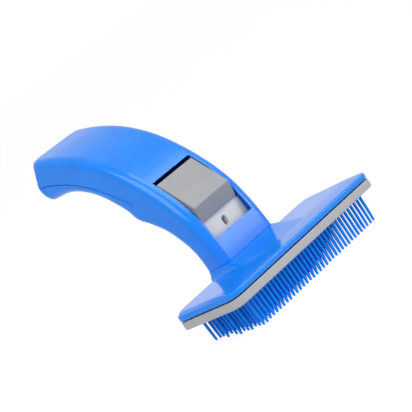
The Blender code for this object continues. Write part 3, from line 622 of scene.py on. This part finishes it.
def wall_piece(strips, below, slot):
    """Shell of even wall from strips of rows, open where the slot is and bridged along every
    open edge."""
    solid = bmesh.new()
    found = {}
    partner = {}

    def vertex(layer, point):
        key = (layer, *(round(value, 7) for value in point))
        if key not in found:
            found[key] = solid.verts.new(point)
        return found[key]

    def face(verts, kind):
        """A face, unless its corners fall together or it is there already."""
        ring = [vert for index, vert in enumerate(verts) if vert is not verts[index - 1]]
        if len(set(ring)) < 3:
            return None
        try:
            made = solid.faces.new(ring)
        except ValueError:
            return None
        made.material_index = kind
        return made

    def in_slot(column, first, second):
        return column >= SLOT_COLUMN and slot[0] - 1e-6 <= first and second <= slot[1] + 1e-6

    def outer_vertex(row, column, side):
        places = [grid_point(row, below, column, inset) for inset in (0.0, WALL)]
        for place in places:
            place.x *= side
        outer = vertex(OUTER_FACE, places[0])
        partner.setdefault(outer, vertex(INNER_FACE, places[1]))
        return outer

    outer_faces = []
    for strip in strips:
        for side in (1.0, -1.0):
            grid = [[outer_vertex(row, column, side) for column in COLUMNS] for row in strip]
            for row, (lower, upper) in enumerate(zip(grid, grid[1:])):
                for column in range(len(COLUMNS) - 1):
                    if in_slot(column, strip[row][0], strip[row + 1][0]):
                        continue
                    verts = [lower[column], lower[column + 1], upper[column + 1],
                             upper[column]]
                    if side < 0:
                        verts.reverse()
                    made = face(verts, OUTER_FACE)
                    if made:
                        outer_faces.append(made)
    for made in outer_faces:
        face([partner[vert] for vert in reversed(made.verts)], INNER_FACE)
    for made in outer_faces:
        for loop in made.loops:
            if len(loop.edge.link_faces) == 1:
                a, b = loop.vert, loop.link_loop_next.vert
                face([b, a, partner[a], partner[b]], RIM_FACE)
    return solid


def soften_rim(solid):
    """Rounds the corners of the slot, and then the outer edge all along the rim."""
    solid.normal_update()

    def bevel(first, second, angle, offset):
        edges = [edge for edge in solid.edges if len(edge.link_faces) == 2
                 and {made.material_index for made in edge.link_faces} == {first, second}
                 and edge.calc_face_angle(0.0) > angle]
        bmesh.ops.bevel(solid, geom=edges, offset=offset, segments=3, profile=0.5,
                        affect="EDGES", clamp_overlap=True)

    bevel(RIM_FACE, RIM_FACE, 1.2, 0.0005)
    bevel(OUTER_FACE, RIM_FACE, 0.5, 0.00025)
    for made in solid.faces:
        made.material_index = 0


def make_handle():
    """The shell and the cover, split along the parting line."""
    slot = [front_section(level) for level in (SLOT_LOW, SLOT_HIGH)]
    regular = [step / FINE for step in range(LAST * FINE + 1)]

    def rows(low, high, line):
        extra = [t for t in [low, high] + slot if low <= t <= high]
        kept = [t for t in regular
                if low < t < high and all(abs(t - other) > 0.04 for other in extra)]
        result = []
        for t in sorted(set(kept + extra)):
            limit = None
            if line is not None:
                limit = max(parting_height(max(t, low + 1e-7), line), 0.0)
            result.append((t, None, limit))
        return result

    made = []
    for name, node, below, shift in (("shell_look", "handle_shell", False, 0.0),
                                     ("cover_look", "grip_cover", True, GAP)):
        line = parting_points(shift)
        start = solve(lambda t, line=line: parting_height(t, line) is not None, 4.0, 8.0)
        strips = [] if below else [rows(0.0, start, None)]
        rear = rows(start, LAST, line)
        end = rear[-1][2]
        strips += [rear, [(LAST, share, end) for share in CAP_SHARES]]
        solid = wall_piece(strips, below, slot)
        soften_rim(solid)
        made.append(piece(name, solid, "blue_shell", node))
    return made


def grip_seat(x, index, sink):
    """Place of a seat sunk into the cover, and the direction into the handle."""
    along = (Vector(HANDLE_UNDER[index + 1]) - Vector(HANDLE_UNDER[index - 1])).normalized()
    inward = Vector((0.0, -along.y, along.x))
    return Vector((x, *in_place(*HANDLE_UNDER[index]))) + inward * sink, inward


def cut_sill(shell):
    """Slopes the slot's lower edge inwards, so that the button's toe slides down behind it."""
    mouth = curve_point(HANDLE_TOP, front_section(SLOT_LOW)).x + NECK_SETBACK + GAP
    level = FOOT + TOE_LOW - TOE_TRAVEL
    rear = APRON_REAR + 0.0004
    above = FOOT + SLOT_LOW + 0.0004
    profile = [(mouth, above), (mouth, FOOT + SLOT_LOW),
               (STRIP_FRONT - 2 * GAP - TOE_STEP, level), (rear, level), (rear, above)]
    boolean(shell, side_prism(profile, SLOT_HALF))


def drill_handle(shell, cover):
    """Sunk holes for the screws in the neck's rear and the underside."""
    level = FOOT + NECK_SCREW_HIGH
    for x in (-EAR_X, EAR_X):
        boolean(shell, rod((x, NECK_REAR - NECK_SINK, level), (x, NECK_REAR + PAST, level),
                           SCREW_HOLE))
    for x, index in GRIP_SCREWS.values():
        seat, inward = grip_seat(x, index, GRIP_SINK)
        boolean(cover, rod(seat, seat - inward * HOLE_LENGTH, SCREW_HOLE))
    settle(shell)
    settle(cover)


def shade_slot_walls(shell):
    """Paints shade on the slot's side walls: a darker, rougher blue stands in for the shadow inside
    the slot.
    """
    shell.data.materials.append(SLOT_SHADE_LOOK)
    # Faces of the slot's side walls get the painted shade.
    for made in shell.data.polygons:
        if abs(made.normal.x) > 0.99 and abs(abs(made.center.x) - SLOT_HALF) < 0.00002:
            made.material_index = 1


# Head ----------------------------------------------------------------------------------------
CROWN_INSET = 0.0008
CROWN_RISE = 0.0008
CROWN_SIDE = 0.0030              # width of its slope at the sides
CROWN_FRONT = 0.0144             # and in front
CROWN_STEPS = 8
SADDLE_TOE = 0.0050              # from the head's front edge
SADDLE_FLARE = 0.0033            # to each side, all the way down
TOE_FLARE = 0.0022               # to each side, close to the crown
FRONT_ROUND = 0.0070             # how much wider its front corners get towards the crown
REAR_ROUND = 0.0015              # and its rear corners
SADDLE_ROOT = 0.0006             # how far its lowest outline lies inside the rim
SADDLE_STEPS = 26
SADDLE_CORNER_STEPS = 12
COLLAR_TOP = FOOT - 0.00006
COLLAR_RADIUS = 0.0045
COLLAR_CHAMFER = 0.00018
SPRING_ROOM_HALF = 0.0105
SPRING_SEAT = 0.0013             # below the collar
EAR_HALF = 0.0023
EAR_DEPTH = 0.0023
EAR_HIGH = 0.0084                # above the collar


def crown_ring(share):
    """Outline on the slope from the rim to the crown: wide in front, none behind."""
    ring = head_outline(CROWN_INSET, RIM_HIGH + CROWN_RISE * sin(pi / 2 * share))
    for point in ring:
        back = (point.y - HEAD_FRONT) / (HEAD_REAR - HEAD_FRONT)
        point.x *= 1 - CROWN_SIDE * share / (HEAD_HALF - CROWN_INSET)
        point.y += CROWN_FRONT * share * (1 - back)
    return ring


def saddle():
    """Ramp up to the collar that the neck stands on, flaring at the front and the sides."""
    toe = HEAD_FRONT + SADDLE_TOE
    rings = []
    for step in range(SADDLE_STEPS + 1):
        rise = (step / SADDLE_STEPS) ** 1.3
        fall = 1 - rise
        half_x = HANDLE_HALF + SADDLE_FLARE * fall ** 2 + TOE_FLARE * fall ** 7
        y_front = NECK_FRONT - (NECK_FRONT - toe) * fall ** 1.35
        y_rear = NECK_REAR - (NECK_REAR - HEAD_REAR - GAP) * fall ** 9
        front_radius = COLLAR_RADIUS + FRONT_ROUND * fall ** 2
        rear_radius = COLLAR_RADIUS + REAR_ROUND * fall ** 2
        plan = rounded_rectangle(half_x, y_front, y_rear, front_radius, rear_radius,
                                 SADDLE_CORNER_STEPS, (9, 15))
        z = RIM_HIGH + (COLLAR_TOP - RIM_HIGH) * rise
        rings.append([Vector((x, y, z)) for x, y in plan])
    rear = HEAD_REAR - SADDLE_ROOT
    root = [Vector((point.x, min(point.y, rear), RIM_LOW + SADDLE_ROOT)) for point in rings[0]]
    last = rings[-1]
    rings[-1] = [point - Vector((0.0, 0.0, COLLAR_CHAMFER)) for point in last]
    rings.append([Vector((point.x * 0.990,
                          NECK_SETBACK + (point.y - NECK_SETBACK) * 0.975, point.z))
                  for point in last])
    return loft([root] + rings)


def make_head():
    """Back of the head: rim, crown and saddle, hollow below, with a passage for the link, room
    for the springs and an ear for each of the neck's screws."""
    rings = rim_rings(RIM_LOW, RIM_HIGH, 0.0003, 0.0008)
    rings += [crown_ring(step / CROWN_STEPS) for step in range(1, CROWN_STEPS + 1)]
    head = piece("head_look", loft(rings), "blue_shell", "head_housing")
    boolean(head, saddle(), "UNION")
    below = RIM_LOW - PAST
    boolean(head, loft([head_outline(HEAD_WALL, z)
                        for z in (below, RIM_LOW + BASE_THICKNESS + GAP)]))
    boolean(head, block((-PASSAGE_HALF, APRON_REAR, below), (PASSAGE_HALF, PASSAGE_REAR, FOOT)))
    boolean(head, block((-SPRING_ROOM_HALF, PASSAGE_REAR - PAST, COLLAR_HIGH - SPRING_SEAT),
                        (SPRING_ROOM_HALF, NECK_REAR - WALL - GAP, FOOT)))
    for x in (-EAR_X, EAR_X):
        boolean(head, block((x - EAR_HALF, EAR_REAR - EAR_DEPTH, COLLAR_HIGH - PAST),
                            (x + EAR_HALF, EAR_REAR, COLLAR_HIGH + EAR_HIGH)), "UNION")
    settle(head, SOFT_CREASE)


# Bristles and plate --------------------------------------------------------------------------
PITCH_X = 0.0025
PITCH_Y = 0.00405
COLUMN_COUNT = 35
ROW_COUNT = 9
SCREW_REACH = 0.0034             # no pin stands closer to a screw of the pad
PIN_SIDES = 8
PIN_LEVELS = [(RIM_LOW, 0.00080), (PLATE_LOW, 0.00075), (0.0100, 0.00070), (0.0068, 0.00066),
              (0.0042, 0.00062)]                         # height and radius
PIN_TIP = 0.00056                # radius where the rounding starts
PIN_DOME = 0.00045               # height of the rounding
PIN_SHORTER = 0.00035            # how much pins differ in length
PIN_CROOKED = 0.00022            # how much their tips stray to the sides
PIN_BENT = 0.0007                # how far the tips of the outermost pins bend inwards
PIN_WORN = 0.0016                # how much shorter the rear rows are at their ends
PIN_HOLE = 0.00105
PIN_HOLE_SINK = 0.0002
PLATE_SCREW_HOLE = 0.00145
OPENING_HALF = 0.0103            # in the pad, for the link's tongue


def pin_places():
    """(x, y) of every pin: staggered rows, with gaps where the pad's screws are."""
    places = []
    for row in range(ROW_COUNT):
        count = COLUMN_COUNT - row % 2
        y = (row - (ROW_COUNT - 1) / 2) * PITCH_Y
        places += [((column - (count - 1) / 2) * PITCH_X, y) for column in range(count)]
    return [(x, y) for x, y in places
            if all((x - sx) ** 2 + (y - sy) ** 2 > SCREW_REACH ** 2 for sx, sy in PAD_SCREWS)]


def loop_of(solid, points):
    """A closed ring: its vertices and its edges."""
    verts = [solid.verts.new(point) for point in points]
    edges = [solid.edges.new((verts[index - 1], verts[index])) for index in range(len(verts))]
    return verts, edges


def pin_rings(number, x, y):
    """Outlines of one pin from root to tip: tapered and round-ended, none quite as long or as
    straight as the next. The outer pins bend inwards, and the rear ones are worn shorter
    towards both ends of their rows."""
    row = y / PITCH_Y + (ROW_COUNT - 1) / 2
    out = x / (17 * PITCH_X)
    shorter = sin(number * 12.9898 + 4.0) * 43.7585 % 1.0
    crooked = sin(number * 78.233 + 1.0) * 43.7585 % 1.0
    worn = clamp((row - 2) / 5)
    tip = PIN_WORN * worn ** 2 * out ** 2 + PIN_SHORTER * shorter
    bend = -PIN_BENT * out * abs(out) + PIN_CROOKED * (crooked - 0.5)
    levels = PIN_LEVELS + [(tip + PIN_DOME * (1 - sin(angle)), PIN_TIP * cos(angle))
                           for angle in (0.0, pi / 8, pi / 4, 3 * pi / 8)]
    rings = []
    for z, radius in levels:
        shift = bend * (max(PLATE_LOW - z, 0.0) / PLATE_LOW) ** 2
        rings.append(circle(x + shift, y, z, radius, PIN_SIDES))
    return rings


def make_bristles():
    """Base plate with all its pins as one moulding."""
    outline = head_outline(HEAD_WALL + GAP, RIM_LOW)
    solid = bmesh.new()
    low, edges = loop_of(solid, outline)
    high = [solid.verts.new(point + Vector((0.0, 0.0, BASE_THICKNESS))) for point in outline]
    band(solid, low, high)
    solid.faces.new(high)
    for number, place in enumerate(pin_places()):
        rings = pin_rings(number, *place)
        verts, root_edges = loop_of(solid, rings[0])
        edges += root_edges
        for ring in rings[1:]:
            lower = [solid.verts.new(point) for point in ring]
            band(solid, lower, verts)
            verts = lower
        solid.faces.new(verts)
    bmesh.ops.triangle_fill(solid, use_beauty=True, edges=edges)
    bristles = piece("bristles_look", solid, "blue_bristle", "bristle_pad", PIN_CREASE)
    boolean(bristles, block((-OPENING_HALF, TONGUE_FRONT - GAP, RIM_LOW - 0.0002),
                            (OPENING_HALF, HEAD_REAR, RIM_HIGH)))
    settle(bristles, PIN_CREASE)


def make_plate():
    """Plate with rounded edges and a round hole for each pin, countersunk below."""
    solid = bmesh.new()
    rings = rim_rings(PLATE_LOW, PLATE_HIGH, 0.0005, 0.0004)
    previous, low_edges = loop_of(solid, rings[0])
    for ring in rings[1:-1]:
        verts = [solid.verts.new(point) for point in ring]
        band(solid, previous, verts)
        previous = verts
    high, high_edges = loop_of(solid, rings[-1])
    band(solid, previous, high)
    holes = [(x, y, PIN_HOLE, PIN_HOLE_SINK, 10) for x, y in pin_places()]
    holes += [(x, y, PLATE_SCREW_HOLE, 0.0, 24) for x, y in PLATE_SCREWS]
    for x, y, radius, sink, sides in holes:
        lower, lower_edges = loop_of(solid, circle(x, y, PLATE_LOW, radius + sink, sides))
        low_edges += lower_edges
        if sink:
            step = [solid.verts.new(point)
                    for point in circle(x, y, PLATE_LOW + sink, radius, sides)]
            band(solid, lower, step)
            lower = step
        upper, upper_edges = loop_of(solid, circle(x, y, PLATE_HIGH, radius, sides))
        band(solid, lower, upper)
        high_edges += upper_edges
    bmesh.ops.triangle_fill(solid, use_beauty=True, edges=low_edges)
    bmesh.ops.triangle_fill(solid, use_beauty=True, edges=high_edges)
    settle(piece("plate_look", solid, "grey_slider", "pusher_plate"))


# Thumb button and link -----------------------------------------------------------------------
BUTTON_REAR = in_place(0.0063, 0.0437)
BUTTON_CREASE = in_place(-0.0057, 0.0269)
BUTTON_HEEL = (0.0017, 0.0022)   # the heel lies this far behind and below the button's rear
LEG = 0.0020
LEG_LOW = 0.0196
LEG_HIGH = 0.0259
FLANGE_LOW = 0.0060
FLANGE_HIGH = 0.0168
SHOULDER_HIGH = 0.0190
TONGUE_HALF = 0.0100
TONGUE_HIGH = 0.0070
SHELF_LOW = 0.0152
SHELF_THICKNESS = 0.0016
SHELF_DEPTH = 0.0046
EYE_RADIUS = 0.0015
EYE_STRAIGHT = 0.0009            # half the length of the eye's straight sides
EYE_HIGH = 0.0139
EYE_STEPS = 12


def make_button():
    """Wedge in the slot, with a toe over the strip and a leg behind it."""
    toe = STRIP_FRONT - GAP
    toe_low = FOOT + TOE_LOW
    strip_top = FOOT + STRIP_HIGH + GAP
    leg_front = STRIP_REAR + GAP
    leg_rear = leg_front + LEG
    leg_low = FOOT + LEG_LOW
    heel = (BUTTON_REAR[0] + BUTTON_HEEL[0], BUTTON_REAR[1] - BUTTON_HEEL[1])
    profile = [(toe - TOE_STEP, toe_low), (toe, toe_low), (toe, strip_top),
               (leg_front, strip_top), (leg_front, leg_low), (leg_rear, leg_low),
               (leg_rear, FOOT + LEG_HIGH), heel, BUTTON_REAR, BUTTON_CREASE]
    button = piece("button_look", side_prism(profile, WEDGE_HALF), "grey_slider",
                   "thumb_button", SOFT_CREASE)
    rounded(button, 0.00070, 4)
    settle(button)
    # The darker copy of the slider grey, partly painted shade.
    button.data.materials[0] = SHADED_BUTTON_LOOK


def make_link():
    """Strip with guide flanges and an oblong eye, a shelf for the springs and a tongue down to
    the plate."""
    flange = WEDGE_HALF + FLANGE
    right = [(flange, FOOT + FLANGE_LOW), (flange, FOOT + FLANGE_HIGH),
             (WEDGE_HALF, FOOT + SHOULDER_HIGH), (WEDGE_HALF, FOOT + STRIP_HIGH)]
    outline = right + [(-x, z) for x, z in reversed(right)]
    link = piece("link_look", front_prism(outline, STRIP_FRONT, STRIP_REAR), "grey_slider",
                 "push_link", SOFT_CREASE)
    middle = (STRIP_FRONT + STRIP_REAR) / 2
    plate = PLATE_HIGH + GAP
    shelf = FOOT + SHELF_LOW
    shelf_top = shelf + SHELF_THICKNESS
    shelf_rear = TONGUE_REAR + SHELF_DEPTH
    tongue_top = FOOT + TONGUE_HIGH
    spine = [(TONGUE_FRONT, plate), (TONGUE_REAR, plate), (TONGUE_REAR, shelf),
             (shelf_rear, shelf), (shelf_rear, shelf_top), (middle, shelf_top),
             (middle, tongue_top), (TONGUE_FRONT, tongue_top)]
    boolean(link, side_prism(spine, TONGUE_HALF), "UNION")
    eye = []
    for half, shift in enumerate((EYE_STRAIGHT, -EYE_STRAIGHT)):
        for step in range(EYE_STEPS + 1):
            angle = pi * half + pi * step / EYE_STEPS
            eye.append((EYE_RADIUS * cos(angle),
                        FOOT + EYE_HIGH + shift + EYE_RADIUS * sin(angle)))
    boolean(link, front_prism(eye, STRIP_FRONT - PAST, TONGUE_REAR + PAST))
    rounded(link, 0.00018, 2)
    settle(link)
    # The lighter copy of the slider grey: painted light on the strip.
    link.data.materials[0] = LIT_STRIP_LOOK


# Screws and springs --------------------------------------------------------------------------
THREAD_STEP = 0.0004             # half the thread's pitch
WIRE = 0.00025                   # radius
CLOSED_PITCH = 0.0007            # of the first and the last turn
TURNS = 7
STEPS_A_TURN = 20
WIRE_SIDES = 8


def make_screw(name, seat, inward, length, sizes):
    """Round-headed screw with a cross recess, turned about Z and set on its seat."""
    head, height, shank = sizes
    core = shank * 0.40
    thread = [(shank / 2 if step % 2 else core, length - 0.0002 - THREAD_STEP * step)
              for step in range(int(length / 0.0008) * 2)]
    profile = [(0.0, length), (shank * 0.30, length)]
    profile += [point for point in thread if point[1] > 0.0002]
    profile += [(core, 0.0), (head / 2, 0.0), (head / 2, -height * 0.45)]
    profile += [(head / 2 * cos(angle), -height * (0.45 + 0.55 * sin(angle)))
                for angle in (pi / 8, pi / 4, 3 * pi / 8, 1.45)]
    rings = [circle(0.0, 0.0, z, max(radius, 0.00002), 24) for radius, z in profile]
    screw = piece(name + "_look", loft(rings), "steel", name)
    for angle in (0.0, pi / 2):
        slot = block((-head * 0.30, -head * 0.055, -height * 1.4),
                     (head * 0.30, head * 0.055, -height * 0.35))
        bmesh.ops.rotate(slot, verts=slot.verts, matrix=Matrix.Rotation(angle, 3, "Z"))
        boolean(screw, slot)
    turn = Vector(inward).to_track_quat("Z", "Y").to_matrix().to_4x4()
    screw.data.transform(Matrix.Translation(seat) @ turn)
    settle(screw)


def make_screws():
    """The screws that show or may be looked at: of the neck, the cover and the plate."""
    for side, x in (("left", -EAR_X), ("right", EAR_X)):
        seat = (x, NECK_REAR - NECK_SINK + GAP, FOOT + NECK_SCREW_HIGH)
        make_screw("neck_screw_" + side, seat, (0.0, -1.0, 0.0), 0.0040, SCREW)
    for side, (x, index) in GRIP_SCREWS.items():
        seat, inward = grip_seat(x, index, GRIP_SINK - GAP)
        make_screw("grip_screw_" + side, seat, inward, 0.0090, SCREW)
    for side, (x, y) in zip(("left", "right"), PLATE_SCREWS):
        seat = (x, y, PLATE_LOW + 0.0010)
        make_screw("plate_screw_" + side, seat, (0.0, 0.0, 1.0), 0.0080, SMALL_SCREW)


def coil_rings(x, y, radius, bottom, top):
    """Outlines of the wire of a coil spring with closed ends."""
    rings = []
    for step in range(TURNS * STEPS_A_TURN + 1):
        turn = step / STEPS_A_TURN
        closed = min(turn, 1.0) + max(turn - TURNS + 1.0, 0.0)
        rise = min(max(turn - 1.0, 0.0), TURNS - 2.0) / (TURNS - 2)
        z = bottom + CLOSED_PITCH * closed + (top - bottom - 2 * CLOSED_PITCH) * rise
        angle = 2 * pi * turn
        ring = []
        for corner in range(WIRE_SIDES):
            around = 2 * pi * corner / WIRE_SIDES
            out = radius + WIRE * cos(around)
            ring.append(Vector((x + out * cos(angle), y + out * sin(angle),
                                z + WIRE * sin(around))))
        rings.append(ring)
    return rings


def make_springs():
    """Coil springs that stand on the head under the shelf, which squeezes them; the coils themselves
    are built at one fixed length.
    """
    for side in ("left", "right"):
        name = "return_spring_" + side
        low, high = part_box(name)
        x, y = (low[0] + high[0]) / 2, (low[1] + high[1]) / 2
        rings = coil_rings(x, y, (high[0] - low[0]) / 2 - WIRE, low[2] + WIRE, high[2] - WIRE)
        coil = piece(name + "_look", loft(rings), "steel", name, COIL_CREASE)
        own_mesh(coil)


def dress():
    """Gives every CAD node that stays its finish."""
    for name, obj in frame["nodes"].items():
        look = LOOKS[SLOTS.get(name, "steel")]
        for index in range(len(obj.material_slots)):
            obj.material_slots[index].link = "OBJECT"
            obj.material_slots[index].material = look


# Camera, floor and light ---------------------------------------------------------------------
CAMERA_PLACE = (-0.49202, -0.58878, 0.13711)
CAMERA_AXES = ((0.594976, -0.562793, -0.573818), (0.507620, -0.290407, 0.811163),
               (-0.623158, -0.773905, 0.112899))         # right, up and back
CAMERA_LENS = 157.28             # millimetres, with the sensor 36 wide
FLOOR_HALF = 30.0


def make_camera():
    lens = bpy.data.cameras.new("view")
    lens.sensor_width = 36.0
    lens.lens = CAMERA_LENS
    lens.clip_start = 0.01
    camera = put("view", lens)
    turn = Matrix(CAMERA_AXES).transposed().to_4x4()
    camera.matrix_world = Matrix.Translation(CAMERA_PLACE) @ turn
    bpy.context.scene.camera = camera


def shown_to_camera(tree):
    """1 for rays that show a background: camera, glossy and transmission rays."""
    path = tree.nodes.new("ShaderNodeLightPath")
    shown = path.outputs["Is Camera Ray"]
    for ray in ("Is Glossy Ray", "Is Transmission Ray"):
        larger = tree.nodes.new("ShaderNodeMath")
        larger.operation = "MAXIMUM"
        tree.links.new(shown, larger.inputs[0])
        tree.links.new(path.outputs[ray], larger.inputs[1])
        shown = larger.outputs[0]
    return shown


def make_world(level):
    """White where it is seen, and dimmer as a light."""
    world = bpy.data.worlds.new("studio")
    world.use_nodes = True
    tree = world.node_tree
    back = tree.nodes["Background"]
    back.inputs["Color"].default_value = (1.0, 1.0, 1.0, 1.0)
    strength = between(tree, shown_to_camera(tree), level, 1.0, start=0.0, end=1.0)
    tree.links.new(strength, back.inputs["Strength"])
    bpy.context.scene.world = world


def make_floor():
    """White floor just below the bristle tips, which keeps a soft shadow."""
    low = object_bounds()[0][2] - 0.0002
    mesh = bpy.data.meshes.new("floor")
    corners = [(x * FLOOR_HALF, y * FLOOR_HALF, low)
               for x, y in ((-1, -1), (1, -1), (1, 1), (-1, 1))]
    mesh.from_pydata(corners, [], [(0, 1, 2, 3)])
    floor = put("floor", mesh)
    look, tree, shader = nodes_of("floor_look", metallic=0.0, roughness=0.9)
    shader.inputs["Base Color"].default_value = (0.88, 0.88, 0.88, 1.0)
    shader.inputs["Specular IOR Level"].default_value = 0.0
    glow = tree.nodes.new("ShaderNodeEmission")
    glow.inputs["Strength"].default_value = 1.12
    mixed = tree.nodes.new("ShaderNodeMixShader")
    share = between(tree, shown_to_camera(tree), 0.30, 0.82, start=0.0, end=1.0)
    tree.links.new(share, mixed.inputs["Fac"])
    tree.links.new(shader.outputs[0], mixed.inputs[1])
    tree.links.new(glow.outputs[0], mixed.inputs[2])
    tree.links.new(mixed.outputs[0], tree.nodes["Material Output"].inputs["Surface"])
    mesh.materials.append(look)


def make_lamp(name, kind, power, turn, place=(0.0, 0.0, 0.0)):
    lamp = bpy.data.lights.new(name, kind)
    lamp.energy = power
    obj = put(name, lamp)
    obj.location = place
    obj.rotation_mode = "QUATERNION"
    obj.rotation_quaternion = turn
    return lamp


def area_light(name, place, target, size, power):
    """Rectangular light that faces its target."""
    turn = (Vector(target) - Vector(place)).to_track_quat("-Z", "Y")
    lamp = make_lamp(name, "AREA", power, turn, place)
    lamp.shape = "RECTANGLE"
    lamp.size, lamp.size_y = size


def sun_light(name, direction, spread, power):
    """Soft light from far off; the direction is where it comes from."""
    lamp = make_lamp(name, "SUN", power, Vector(direction).to_track_quat("Z", "Y"))
    lamp.angle = spread


shell, cover = make_handle()
cut_sill(shell)
drill_handle(shell, cover)
shade_slot_walls(shell)
make_head()
make_bristles()
make_plate()
make_button()
make_link()
make_springs()
make_screws()
dress()

make_camera()
make_world(0.17)
make_floor()
sun_light("key", (0.42, -0.52, 0.74), 0.7, 1.22)
area_light("low", (0.72, -0.82, 0.15), (0.0, 0.0, 0.03), (0.36, 0.27), 1.7)
area_light("strip", (-0.60, -0.30, 0.70), (0.0, 0.02, 0.05), (0.62, 0.80), 5.8)
bpy.context.scene.view_settings.view_transform = "Standard"
